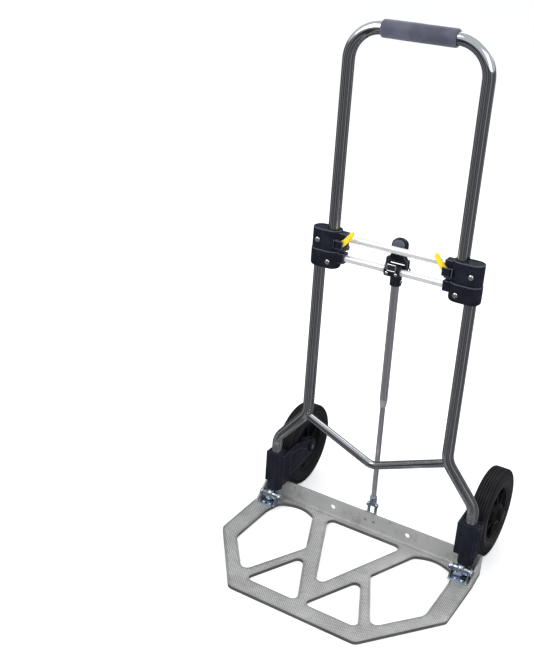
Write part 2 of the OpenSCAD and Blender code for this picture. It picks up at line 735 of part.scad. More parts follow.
module clevis_rivets() {
    grip = flange_t + 2;
    color("silver") for (p = clevis_rivet_at)
        translate([p[0], flange_f + grip / 2, p[1]]) rotate([90, 0, 0])
            rivet(grip, clevis_rivet_d, clevis_rivet_d + 3, 1.4);
}

// The bracket turns on the leg's foot; its arm carries the axle on the inner side of the wheel.
module wheel_bracket(side) {
    h = sleeve_top_z - sleeve_z0;
    web_z0 = plate_t + flange_h + 6;
    arm = rounded([[-6, web_z0], [34, web_z0], [axle_y + 4, axle_z - 17], [axle_y + 4, axle_z + 17],
        [44, sleeve_top_z + 4], [-6, sleeve_top_z - 2]], [3, 20, 4, 4, 16, 3]);
    wall_in = wheel_r + guard_gap;
    web_h = sleeve_top_z - 3 - web_z0;
    color([0.09, 0.1, 0.13]) on_side(side) translate([foot_x, 0, 0]) difference() {
        union() {
            translate([0, 0, sleeve_z0]) cylinder(d=sleeve_d, h=h);
            translate([-arm_out, 0, 0]) slab_x(arm_t) polygon(arm);
            translate([-arm_out, axle_y, axle_z]) rod_x(boss_r, arm_t);
            translate([-arm_out, web_y, web_z0]) cube([arm_out - 8, web_l, web_h]);
            intersection() {
                translate([-arm_out, axle_y, axle_z]) rotate([0, 90, 0]) difference() {
                    cylinder(r=wall_in + guard_t, h=arm_out + arm_in);
                    translate([0, 0, -1]) cylinder(r=wall_in, h=arm_out + arm_in + 2);
                }
                translate([-arm_out, 0, web_z0]) cube([arm_out + arm_in, 40, sleeve_top_z - 2 - web_z0]);
            }
            translate([0, web_y, web_z0]) cube([arm_in, web_l, web_h]);
        }
        translate([0, 0, sleeve_z0 - 1]) cylinder(r=tube_r + run_fit, h=h + 2);
        translate([-arm_out - 1, axle_y, axle_z]) rod_x(axle_d / 2 + seat_fit, arm_t + 2);
    }
}

// The axle bolt: a domed head inside, a shoulder through the arm and hub, and a nut outside.
module axle(side) {
    end = wheel_w / 2 + 2.5;
    color("silver") on_side(side) translate([foot_x, axle_y, axle_z]) {
        translate([-arm_out, 0, 0]) rod_x(axle_d / 2, arm_out + end + 6);
        translate([-arm_out, 0, 0]) rotate([0, -90, 0]) dome(boss_r, 4);
        translate([end, 0, 0]) rotate([0, 90, 0]) cylinder(r=nut_af / 2 / cos(30), h=5, $fn=6);
    }
}

module axle_washers(side) {
    bore = axle_d / 2 + seat_fit;
    color("silver") on_side(side) translate([foot_x, axle_y, axle_z])
        for (x = [-arm_in, wheel_w / 2 + 0.3]) translate([x, 0, 0]) difference() {
            rod_x(axle_d / 2 + 4, x < 0 ? 1.2 : 2);
            translate([-1, 0, 0]) rod_x(bore, 5);
        }
}

// A tyre with grooves that run round its tread.
module tyre(side) {
    half = wheel_w / 2;
    groove = 1.6;
    pitch = 5.2;
    color([0.06, 0.06, 0.07]) on_side(side) translate([foot_x, axle_y, axle_z]) rotate([0, 90, 0])
        rotate_extrude($fn=128) difference() {
            polygon(concat([[hub_r + seat_fit, -half + 3], [hub_r + seat_fit, half - 3]],
                [[wheel_r - 18, half]], arc_points([wheel_r - 7, half - 7], 7, 90, 0, 5),
                arc_points([wheel_r - 7, -half + 7], 7, 0, -90, 5), [[wheel_r - 18, -half]]));
            for (i = [-2:2]) translate([wheel_r - 2, i * pitch - groove / 2]) square([4, groove]);
        }
}

// The hub: a rim, a web with round openings and a boss for two bearings.
module hub(side) {
    half = wheel_w / 2;
    color([0.12, 0.12, 0.14]) on_side(side) translate([foot_x, axle_y, axle_z]) rotate([0, 90, 0]) difference() {
        rotate_extrude($fn=96) {
            translate([hub_r - 6, -half + 3]) square([6, 2 * half - 6]);
            translate([bearing_r, -4]) square([hub_r - bearing_r - 3, 8]);
            translate([axle_d / 2 + 3, -half + bearing_w]) square([bearing_r + 7 - axle_d / 2 - 3, 2 * half - 2 * bearing_w]);
            translate([bearing_r + run_fit, -half]) square([7, 2 * half]);
        }
        for (a = [0:60:300]) rotate([0, 0, a]) translate([36, 0, -20]) cylinder(r=9, h=40);
    }
}

module bearings(side) {
    color("silver") on_side(side) translate([foot_x, axle_y, axle_z]) rotate([0, 90, 0])
        for (s = [0, 1]) mirror([0, 0, s]) translate([0, 0, -wheel_w / 2]) rotate_extrude()
            polygon([[axle_d / 2 + run_fit, 0], [bearing_r, 0], [bearing_r, bearing_w], [axle_d / 2 + run_fit, bearing_w]]);
}

// A ring cap on the outer face of the hub.
module hub_cap(side) {
    color([0.1, 0.1, 0.12]) on_side(side) translate([foot_x + wheel_w / 2, axle_y, axle_z]) rotate([0, 90, 0])
        rotate_extrude() polygon([[axle_d / 2 + 5.5, 0], [cap_r, 0], [cap_r, 1.2], [cap_r - 3, 2.8], [axle_d / 2 + 5.5, 2.8]]);
}

centred() leg_tube("left");  // left_leg_tube
centred() leg_tube("right");  // right_leg_tube
centred() crossbar();
centred() leg_foot("left");  // left_leg_foot
centred() leg_foot("right");  // right_leg_foot
centred() foot_rivets();
centred() upper_collar("left");  // left_upper_collar
centred() upper_collar("right");  // right_upper_collar
centred() tie_bar(upper_tie_z);  // upper_tie_bar
centred() collar_rivets(leg_x, upper_rivet_z);  // upper_collar_rivets
centred() lever_pins();
centred() release_lever("left");  // left_release_lever
centred() release_lever("right");  // right_release_lever
centred() lock_pin("left");  // left_lock_pin
centred() lock_pin("right");  // right_lock_pin
centred() handle_tube();
centred() foam_grip();
centred() lower_collar("left");  // left_lower_collar
centred() lower_collar("right");  // right_lower_collar
centred() tie_bar(lower_tie_z);  // lower_tie_bar
centred() collar_rivets(handle_x, lower_rivet_z);  // lower_collar_rivets
centred() centre_head();
centred() head_screws();
centred() head_wire_clip();
centred() latch_pin();
centred() latch_lever();
centred() centre_tube();
centred() centre_bush();
centred() centre_rod();
centred() rod_end();
centred() toe_plate();
centred() hinge_bracket("left");  // left_hinge_bracket
centred() hinge_bracket("right");  // right_hinge_bracket
centred() hinge_bracket_rivets();
centred() hinge_pin("left");  // left_hinge_pin
centred() hinge_pin("right");  // right_hinge_pin
centred() clevis();
centred() clevis_pin();
centred() clevis_rivets();
centred() wheel_bracket("left");  // left_wheel_bracket
centred() wheel_bracket("right");  // right_wheel_bracket
centred() axle("left");  // left_axle
centred() axle("right");  // right_axle
centred() axle_washers("left");  // left_axle_washers
centred() axle_washers("right");  // right_axle_washers
centred() tyre("left");  // left_tyre
centred() tyre("right");  // right_tyre
centred() hub("left");  // left_hub
centred() hub("right");  // right_hub
centred() bearings("left");  // left_bearings
centred() bearings("right");  // right_bearings
centred() hub_cap("left");  // left_hub_cap
centred() hub_cap("right");  // right_hub_cap
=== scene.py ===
"""Looks of a folding hand truck: finishes, detailed pieces, studio and camera.

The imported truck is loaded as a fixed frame. Lengths in dataclass fields are in millimetres, and MM
turns them into metres, which is what every mesh is built in.
"""

import json
import logging
import math
from dataclasses import dataclass, field
from enum import Enum
from typing import Optional, Sequence, Union

import bmesh
import bpy
from mathutils import Matrix, Quaternion, Vector
from mathutils.kdtree import KDTree

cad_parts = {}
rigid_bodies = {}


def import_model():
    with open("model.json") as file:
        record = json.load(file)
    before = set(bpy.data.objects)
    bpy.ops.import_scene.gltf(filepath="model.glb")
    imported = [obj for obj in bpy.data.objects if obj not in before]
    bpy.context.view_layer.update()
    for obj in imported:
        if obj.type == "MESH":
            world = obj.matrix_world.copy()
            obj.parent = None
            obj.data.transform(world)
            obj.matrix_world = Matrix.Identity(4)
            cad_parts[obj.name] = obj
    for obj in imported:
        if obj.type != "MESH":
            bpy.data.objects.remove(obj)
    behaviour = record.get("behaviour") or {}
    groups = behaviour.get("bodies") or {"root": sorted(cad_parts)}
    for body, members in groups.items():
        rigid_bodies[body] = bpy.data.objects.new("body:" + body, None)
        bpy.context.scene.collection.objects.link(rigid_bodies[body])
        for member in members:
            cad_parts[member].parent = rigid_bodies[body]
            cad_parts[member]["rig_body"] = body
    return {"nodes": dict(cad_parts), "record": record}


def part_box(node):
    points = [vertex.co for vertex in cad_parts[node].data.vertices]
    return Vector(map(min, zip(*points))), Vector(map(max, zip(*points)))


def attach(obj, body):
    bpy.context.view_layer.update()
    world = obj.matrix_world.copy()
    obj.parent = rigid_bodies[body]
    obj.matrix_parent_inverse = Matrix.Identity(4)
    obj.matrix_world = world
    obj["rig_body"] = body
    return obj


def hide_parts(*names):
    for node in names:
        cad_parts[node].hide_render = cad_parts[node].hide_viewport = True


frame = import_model()

LOG = logging.getLogger("hand_truck")
MM = 0.001
Colour = tuple[float, float, float]
Ring = list[Vector]
X_AXIS, Y_AXIS, Z_AXIS = Vector((1, 0, 0)), Vector((0, 1, 0)), Vector((0, 0, 1))


# ---------------------------------------------------------------- shader maths


class Value:
    """A socket that arithmetic can be written with: each operator adds one Math node."""

    def __init__(self, graph: "Graph", socket: bpy.types.NodeSocket) -> None:
        """Wraps a socket.

        Args:
            graph: The node tree that the socket belongs to.
            socket: An output socket that holds one number at each point.
        """
        self.graph = graph
        self.socket = socket

    def __add__(self, other: "Term") -> "Value":
        """Sum."""
        return self.graph.maths("ADD", self, other)

    __radd__ = __add__

    def __sub__(self, other: "Term") -> "Value":
        """Difference."""
        return self.graph.maths("SUBTRACT", self, other)

    def __rsub__(self, other: "Term") -> "Value":
        """Difference from a number."""
        return self.graph.maths("SUBTRACT", other, self)

    def __mul__(self, other: "Term") -> "Value":
        """Product."""
        return self.graph.maths("MULTIPLY", self, other)

    __rmul__ = __mul__

    def __truediv__(self, other: "Term") -> "Value":
        """Quotient."""
        return self.graph.maths("DIVIDE", self, other)

    def __pow__(self, other: "Term") -> "Value":
        """Power."""
        return self.graph.maths("POWER", self, other)

    def __gt__(self, other: "Term") -> "Value":
        """1 where this is the greater, else 0."""
        return self.graph.maths("GREATER_THAN", self, other)

    def __lt__(self, other: "Term") -> "Value":
        """1 where this is the smaller, else 0."""
        return self.graph.maths("LESS_THAN", self, other)

    def __abs__(self) -> "Value":
        """Size without its sign."""
        return self.graph.maths("ABSOLUTE", self)


Term = Union[Value, float]


class Graph:
    """The node tree of one material."""

    def __init__(self, name: str) -> None:
        """Starts an empty tree.

        Args:
            name: Name of the material.
        """
        self.material = bpy.data.materials.new(name)
        self.material.use_nodes = True
        self.tree = self.material.node_tree
        self.tree.nodes.clear()
        self.coords = self.node("TexCoord")

    def node(
        self,
        kind: str,
        settings: Optional[dict[str, object]] = None,
        sockets: Optional[dict[Union[str, int], object]] = None,
    ) -> bpy.types.Node:
        """Adds any node.

        Args:
            kind: The node's type without its "ShaderNode" prefix.
            settings: Properties that are set first, and "stops" for a ramp's positions and colours.
            sockets: Values or links of input sockets, by name or number.

        Returns:
            The node.
        """
        made = self.tree.nodes.new("ShaderNode" + kind)
        for key, value in (settings or {}).items():
            if key == "stops":
                self._stops(made, value)
            else:
                setattr(made, key, value)
        for key, value in (sockets or {}).items():
            if isinstance(value, Value):
                self.tree.links.new(value.socket, made.inputs[key])
            else:
                made.inputs[key].default_value = value
        return made

    @staticmethod
    def _stops(node: bpy.types.Node, stops: Sequence[tuple[float, Colour]]) -> None:
        """Sets a ramp's stops.

        Args:
            node: A colour ramp node.
            stops: Position and colour of each stop, in order.
        """
        elements = node.color_ramp.elements
        while len(elements) < len(stops):
            elements.new(1.0)
        for element, (position, colour) in zip(elements, stops):
            element.position = position
            element.color = (*colour, 1.0)

    def out(self, node: bpy.types.Node, key: Union[str, int] = 0) -> Value:
        """An output socket of a node, by name or number."""
        return Value(self, node.outputs[key])

    def maths(self, operation: str, *terms: Term, clamp: bool = False) -> Value:
        """Adds a Math node.

        Args:
            operation: The node's operation.
            *terms: Numbers or values, one for each input.
            clamp: Whether the result is held between 0 and 1.

        Returns:
            The result.
        """
        sockets = dict(enumerate(terms))
        return self.out(self.node("Math", {"operation": operation, "use_clamp": clamp}, sockets))

    def point(self) -> Value:
        """Position in the truck's own frame, in metres."""
        return self.out(self.coords, "Object")

    def stretched(self, scale: Sequence[float], turn: float = 0.0) -> Value:
        """The position, scaled along each axis.

        Args:
            scale: Factor along X, Y and Z.
            turn: Angle about Z in radians, applied before the factors.

        Returns:
            The vector.
        """
        spot = self.point()
        if turn:
            spot = self.out(
                self.node("VectorRotate", {"rotation_type": "Z_AXIS"}, {"Vector": spot, "Angle": turn})
            )
        scaled = self.node("VectorMath", {"operation": "MULTIPLY"}, {0: spot, 1: tuple(scale)})
        return self.out(scaled)

    def axis(self, index: int) -> Value:
        """One coordinate of the position: 0 is X, 1 is Y and 2 is Z."""
        return self.out(self.node("SeparateXYZ", {}, {0: self.point()}), index)

    def facing_up(self) -> Value:
        """Z of the true surface direction: 1 on a face that looks up, -1 on one that looks down."""
        geometry = self.node("NewGeometry")
        return self.out(self.node("SeparateXYZ", {}, {0: self.out(geometry, "True Normal")}), 2)

    def noise(
        self, scale: float, detail: float = 3.0, roughness: float = 0.5, at: Optional[Value] = None
    ) -> Value:
        """Noise between 0 and 1.

        Args:
            scale: Cells per metre.
            detail: Octaves.
            roughness: Share that each finer octave keeps.
            at: Where it is read; the position by default.

        Returns:
            The noise.
        """
        sockets = {"Vector": at or self.point(), "Scale": scale, "Detail": detail, "Roughness": roughness}
        return self.out(self.node("TexNoise", {}, sockets))

    def cells(self, scale: float, at: Optional[Value] = None, kind: str = "F1") -> Value:
        """Distance to the nearest of scattered points, with scale cells per metre."""
        sockets = {"Vector": at or self.point(), "Scale": scale}
        return self.out(self.node("TexVoronoi", {"feature": kind}, sockets))

    def fade(self, value: Value, low: float, high: float) -> Value:
        """A smooth step: 0 where value is under low, 1 where it is over high."""
        sockets = {"Value": value, "From Min": low, "From Max": high}
        return self.out(self.node("MapRange", {"interpolation_type": "SMOOTHSTEP"}, sockets))

    def wear(self) -> Value:
        """1 on a piece's rounded edges and 0 elsewhere, as its mesh says."""
        return self.out(self.node("Attribute", {"attribute_name": "edge"}), "Fac")

    def blend(self, share: Value, first: Union[Colour, Value], second: Union[Colour, Value]) -> Value:
        """A mix of two colours.

        Args:
            share: How much of the second colour shows.
            first: The colour where share is 0.
            second: The colour where share is 1.

        Returns:
            The mixed colour.
        """
        a, b = [c if isinstance(c, Value) else (*c, 1.0) for c in (first, second)]
        mixed = self.node("Mix", {"data_type": "RGBA"}, {0: share, 6: a, 7: b})
        return self.out(mixed, 2)

    def bump(self, height: Value, distance: float, strength: float = 1.0, under: Optional[Value] = None) -> Value:
        """A bumped surface direction.

        Args:
            height: Height as a share of distance.
            distance: Depth in metres where height is 1.
            strength: How much of the bump shows.
            under: A coarser bump that this one lies on.

        Returns:
            The direction.
        """
        sockets = {"Height": height, "Distance": distance, "Strength": strength}
        if under is not None:
            sockets["Normal"] = under
        return self.out(self.node("Bump", {}, sockets))

    def surface(self, **sockets: object) -> bpy.types.Material:
        """Ends the tree in a Principled shader.

        Args:
            **sockets: The shader's inputs, with underscores for spaces.

        Returns:
            The finished material.
        """
        inputs = {}
        for key, value in sockets.items():
            is_colour = isinstance(value, tuple) and len(value) == 3
            inputs[key.replace("_", " ")] = (*value, 1.0) if is_colour else value
        shader = self.node("BsdfPrincipled", {}, inputs)
        output = self.node("OutputMaterial")
        self.tree.links.new(shader.outputs[0], output.inputs[0])
        return self.material


# -------------------------------------------------------------------- finishes


class Slot(Enum):
    """The record's material slots."""

    CHROME = "chrome_tube"
    ZINC = "zinc_steel"
    RIVET = "rivet_steel"
    COLLAR = "collar_plastic"
    LEVER = "lever_yellow"
    FOAM = "foam"
    CAST = "cast_aluminium"
    TYRE = "tyre_rubber"
    HUB = "hub_plastic"
    ROD = "rod_zinc"


@dataclass(frozen=True)
class Finish:
    """A surface finish; each kind builds its material once."""

    slot: Slot
    tag: str = field(default="", kw_only=True)

    def build(self, g: Graph) -> bpy.types.Material:
        """Builds the material in a new tree."""
        raise NotImplementedError

    def material(self) -> bpy.types.Material:
        """The finish's material, made on first use."""
        name = f"{type(self).__name__}_{self.slot.value}{self.tag}"
        return bpy.data.materials.get(name) or self.build(Graph(name))


@dataclass(frozen=True)
class Chrome(Finish):
    """Chrome-plated tube: bright, with drawing lines and a haze of handling marks."""

    tint: Colour = (0.56, 0.58, 0.60)
    hazed: Colour = (0.44, 0.45, 0.47)
    polish: float = 0.07
    satin: float = 0.22
    satin_from_z: float = 240.0
    satin_to_z: float = 110.0

    def build(self, g: Graph) -> bpy.types.Material:
        """Builds the chrome; it turns satin towards the foot of the legs."""
        lines = g.noise(260, 2, 0.6, g.stretched((1, 1, 0.02)))
        haze = g.fade(g.noise(28, 4, 0.6), 0.48, 0.75)
        specks = g.fade(g.noise(700, 2), 0.66, 0.74)
        low = 1 - g.fade(g.axis(2), self.satin_to_z * MM, self.satin_from_z * MM)
        rough = self.polish + self.satin * low + 0.09 * haze + 0.05 * lines + 0.15 * specks
        return g.surface(
            Base_Color=g.blend(haze * 0.7 + specks * 0.3, self.tint, self.hazed),
            Metallic=1.0,
            Roughness=rough,
            Normal=g.bump(lines, 0.00003, 0.35),
        )


@dataclass(frozen=True)
class BrightBar(Finish):
    """Bright satin nickel on the tie bars."""

    base: Colour = (0.96, 0.96, 0.97)
    dull: Colour = (0.78, 0.78, 0.80)

    def build(self, g: Graph) -> bpy.types.Material:
        """Builds the nickel, with drawing lines along the bar."""
        lines = g.noise(800, 2, 0.6, g.stretched((0.015, 1, 1)))
        haze = g.fade(g.noise(60, 3, 0.6), 0.5, 0.72)
        return g.surface(
            Base_Color=g.blend(haze * 0.5 + lines * 0.2, self.base, self.dull),
            Metallic=0.55,
            Roughness=0.26 + 0.10 * haze + 0.06 * lines,
            Normal=g.bump(lines, 0.00003, 0.4),
        )


@dataclass(frozen=True)
class ZincPlate(Finish):
    """Zinc-plated pressed steel with the blue and straw tints of its passivation."""

    base: Colour = (0.74, 0.80, 0.88)
    blue: Colour = (0.50, 0.64, 0.84)
    straw: Colour = (0.80, 0.77, 0.66)
    grain: float = 900.0

    def build(self, g: Graph) -> bpy.types.Material:
        """Builds the zinc plate."""
        tint = g.fade(g.noise(60, 3), 0.4, 0.66)
        straw = g.fade(g.noise(85, 2, 0.5, g.stretched((1, 1.3, 0.8))), 0.55, 0.72)
        colour = g.blend(straw * 0.5, g.blend(tint * 0.8, self.base, self.blue), self.straw)
        grain = g.noise(self.grain, 2)
        return g.surface(
            Base_Color=g.blend(g.wear() * 0.5, colour, (0.80, 0.82, 0.85)),
            Metallic=1.0,
            Roughness=0.12 + 0.14 * g.noise(140, 3) + 0.06 * grain,
            Normal=g.bump(grain, 0.00005, 0.5),
        )


@dataclass(frozen=True)
class BrightRivet(Finish):
    """Polished domed rivets and wire."""

    base: Colour = (0.95, 0.95, 0.96)

    def build(self, g: Graph) -> bpy.types.Material:
        """Builds the polished steel."""
        marks = g.fade(g.noise(420, 3, 0.6), 0.5, 0.7)
        return g.surface(
            Base_Color=g.blend(marks * 0.4, self.base, (0.65, 0.65, 0.66)),
            Metallic=1.0,
            Roughness=0.20 + 0.14 * marks,
            Normal=g.bump(g.noise(300, 2), 0.00004, 0.5),
        )


@dataclass(frozen=True)
class Moulding(Finish):
    """Moulded nylon: an even spark-eroded grain, rubbed smoother and paler on its edges."""

    base: Colour = (0.007, 0.008, 0.015)
    bloom: Colour = (0.015, 0.017, 0.029)
    rubbed: Colour = (0.115, 0.125, 0.165)
    grain: float = 1500.0
    matt: float = 0.36

    def build(self, g: Graph) -> bpy.types.Material:
        """Builds the nylon."""
        cloud = g.fade(g.noise(45, 4, 0.55), 0.35, 0.7)
        grain = g.noise(self.grain, 3, 0.6)
        scuffs = g.fade(g.noise(420, 3, 0.7, g.stretched((1, 1, 0.25), 0.6)), 0.68, 0.76)
        edge = g.wear()
        body = g.blend(cloud * 0.7, self.base, self.bloom)
        return g.surface(
            Base_Color=g.blend(edge * 0.55 + scuffs * 0.25, body, self.rubbed),
            Roughness=self.matt + 0.10 * grain - 0.10 * edge + 0.10 * scuffs,
            Normal=g.bump(grain, 0.00012, 0.5, g.bump(g.noise(90, 2), 0.0002, 0.25)),
            Specular_IOR_Level=0.18,
        )


@dataclass(frozen=True)
class LeverPlastic(Finish):
    """Glossy yellow plastic, with patches a little deeper in colour."""

    base: Colour = (0.86, 0.68, 0.015)
    deep: Colour = (0.74, 0.46, 0.005)

    def build(self, g: Graph) -> bpy.types.Material:
        """Builds the yellow plastic."""
        flow = g.fade(g.noise(95, 3, 0.6, g.stretched((1, 1, 0.4))), 0.42, 0.72)
        scuffs = g.fade(g.noise(800, 3, 0.7), 0.60, 0.72)
        return g.surface(
            Base_Color=g.blend(flow * 0.7, self.base, self.deep),
            Roughness=0.26 + 0.12 * scuffs + 0.05 * flow,
            Normal=g.bump(g.noise(500, 2), 0.00005, 0.5),
            Coat_Weight=0.25,
            Coat_Roughness=0.15,
        )


@dataclass(frozen=True)
class FoamSkin(Finish):
    """Closed-cell foam: a matt skin with pores whose hollows are darkened as painted shade, rubbed paler where hands
    hold it.
    """

    base: Colour = (0.040, 0.042, 0.072)
    rubbed: Colour = (0.085, 0.088, 0.135)
    pores: float = 1300.0

    def build(self, g: Graph) -> bpy.types.Material:
        """Builds the foam skin."""
        pores = g.cells(self.pores)
        coarse = g.noise(330, 4, 0.7)
        worn = g.fade(g.noise(32, 3, 0.5, g.stretched((0.5, 1, 1))), 0.38, 0.66)
        # painted shade: the colour is darkened in the pores' hollows
        painted_pore_shade = 1 - g.fade(pores, 0.12, 0.42)
        return g.surface(
            Base_Color=g.blend(worn * 0.7 + coarse * 0.25 - painted_pore_shade * 0.3, self.base, self.rubbed),
            Roughness=0.56 + 0.16 * coarse - 0.08 * worn,
            Normal=g.bump(pores, 0.00030, 0.7, g.bump(coarse, 0.0005, 0.35)),
            Sheen_Weight=0.25,
            Sheen_Roughness=0.5,
        )


@dataclass(frozen=True)
class CastPlate(Finish):
    """Cast and tumbled aluminium: mottled grey, with brighter rims where it is rubbed; its upright faces above the
    plate are painted pale as painted light, and its low upright sides dark as painted shade.
    """

    base: Colour = (0.37, 0.37, 0.36)
    pale: Colour = (0.47, 0.47, 0.46)
    dull: Colour = (0.26, 0.26, 0.245)
    rim: Colour = (0.78, 0.78, 0.78)

    def build(self, g: Graph) -> bpy.types.Material:
        """Builds the casting."""
        cloud = g.noise(16, 5, 0.6)
        grain = g.noise(950, 3, 0.7)
        stain = g.fade(g.noise(38, 4, 0.6), 0.52, 0.72)
        edge = g.wear()
        # painted light and shade: upright faces are picked out by which way they face, not by any real finish
        upright = 1 - g.fade(abs(g.facing_up()), 0.25, 0.7)
        cut = upright * (1 - g.fade(g.axis(2), 0.0072, 0.0080))
        body = g.blend(g.fade(cloud, 0.35, 0.65), self.base, self.pale)
        # painted light: the upright faces above the plate's thickness, such as the flange, are made pale
        body = g.blend(upright * (1 - cut), body, (0.72, 0.72, 0.71))
        # painted shade: the plate's low upright sides are made dark
        body = g.blend(cut * 0.75, body, (0.13, 0.13, 0.125))
        body = g.blend(stain * 0.45 + g.fade(grain, 0.5, 0.8) * 0.25, body, self.dull)
        return g.surface(
            Base_Color=g.blend(edge * 0.85, body, self.rim),
            Metallic=0.70,
            Roughness=0.46 + 0.12 * grain - 0.14 * edge + 0.05 * stain,
            Normal=g.bump(grain, 0.00010, 0.5),
        )


@dataclass(frozen=True)
class TreadRubber(Finish):
    """Black rubber: fine mould texture, dust in the low places."""

    base: Colour = (0.006, 0.006, 0.008)
    dusty: Colour = (0.026, 0.027, 0.032)
    matt: float = 0.38

    def build(self, g: Graph) -> bpy.types.Material:
        """Builds the rubber."""
        dust = g.fade(g.noise(70, 5, 0.65), 0.46, 0.74)
        grain = g.noise(1200, 3, 0.6)
        return g.surface(
            Base_Color=g.blend(dust * 0.4 + g.wear() * 0.3, self.base, self.dusty),
            Roughness=self.matt + 0.12 * dust + 0.08 * grain,
            Normal=g.bump(grain, 0.00012, 0.6),
            Specular_IOR_Level=0.32,
        )


@dataclass(frozen=True)
class SatinRod(Finish):
    """Satin zinc tube with a faint lilac cast and drawing lines along it."""

    base: Colour = (0.95, 0.94, 0.99)
    dull: Colour = (0.80, 0.80, 0.85)

    def build(self, g: Graph) -> bpy.types.Material:
        """Builds the satin tube."""
        lines = g.noise(700, 2, 0.6, g.stretched((1, 1, 0.015)))
        cloud = g.fade(g.noise(40, 4, 0.6), 0.42, 0.7)
        return g.surface(
            Base_Color=g.blend(cloud * 0.6 + lines * 0.2, self.base, self.dull),
            Metallic=1.0,
            Roughness=0.30 + 0.12 * cloud + 0.06 * lines,
            Normal=g.bump(lines, 0.00004, 0.4),
        )


FINISHES: dict[Slot, Finish] = {
    Slot.CHROME: Chrome(Slot.CHROME),
    Slot.ZINC: ZincPlate(Slot.ZINC),
    Slot.RIVET: BrightRivet(Slot.RIVET),
    Slot.COLLAR: Moulding(Slot.COLLAR),
    Slot.LEVER: LeverPlastic(Slot.LEVER),
    Slot.FOAM: FoamSkin(Slot.FOAM),
    Slot.CAST: CastPlate(Slot.CAST),
    Slot.TYRE: TreadRubber(Slot.TYRE),
    Slot.HUB: Moulding(Slot.HUB, (0.004, 0.004, 0.005), (0.009, 0.009, 0.011), (0.03, 0.03, 0.034)),
    Slot.ROD: SatinRod(Slot.ROD),
}


BAR = BrightBar(Slot.CHROME)
BUSH = Moulding(Slot.HUB, (0.20, 0.20, 0.215), (0.26, 0.26, 0.28), (0.40, 0.40, 0.42), tag="_bush")
# painted highlight: a paler moulding for the raised pad on the latch's knob, standing in for light on its sloped
# front
PAINTED_HIGHLIGHT_PAD = Moulding(Slot.COLLAR, (0.10, 0.105, 0.135), (0.17, 0.175, 0.21), (0.34, 0.35, 0.40), tag="_pad")
KNURL = CastPlate(Slot.CAST, (0.78, 0.78, 0.78), (0.86, 0.86, 0.86), (0.62, 0.62, 0.61), tag="_knurl")


# ---------------------------------------------------------------- mesh building


def circle(centre: Vector, u: Vector, v: Vector, radius: float, count: int) -> Ring:
    """Points of a circle.

    Args:
        centre: Its centre.
        u: Unit vector towards its first point.
        v: Unit vector a quarter turn on.
        radius: Its radius in metres.
        count: How many points.

    Returns:
        The points.
    """
    angles = [2 * math.pi * i / count for i in range(count)]
    return [centre + (u * math.cos(a) + v * math.sin(a)) * radius for a in angles]


def stadium(low_x: float, high_x: float, y: float, z: float, radius: float, count: int) -> Ring:
    """Points of a level stadium outline whose ends are centred at low_x and high_x.

    Args:
        low_x: X of the centre of the left end.
        high_x: X of the centre of the right end.
        y: Y of the middle line.
        z: Height.
        radius: Radius of both ends.
        count: Points round each end.

    Returns:
        The points, anticlockwise from above.
    """
    ring = []
    for centre, start in ((high_x, -math.pi / 2), (low_x, math.pi / 2)):
        for i in range(count + 1):
            a = start + math.pi * i / count
            ring.append(Vector((centre + radius * math.cos(a), y + radius * math.sin(a), z)))
    return ring


def quarter(radius: float, steps: int, rising: bool = True) -> list[tuple[float, float]]:
    """Inset and rise of the points of a rounded edge.

    Args:
        radius: The edge's radius.
        steps: Flats in the round.
        rising: Whether the outline grows from an inset edge, as at the foot of a piece.

    Returns:
        (inset, rise) pairs, from the edge's start to its end.
    """
    turns = [math.pi / 2 * i / steps for i in range(steps + 1)]
    if rising:
        return [(radius * (1 - math.sin(a)), radius * (1 - math.cos(a))) for a in turns]
    return [(radius * (1 - math.cos(a)), radius * math.sin(a)) for a in turns]


def turns(start: float, end: float, steps: int) -> list[float]:
    """Angles from start to end in equal steps, both included."""
    return [start + (end - start) * i / steps for i in range(steps + 1)]


WORN_STRIP = 3 * MM


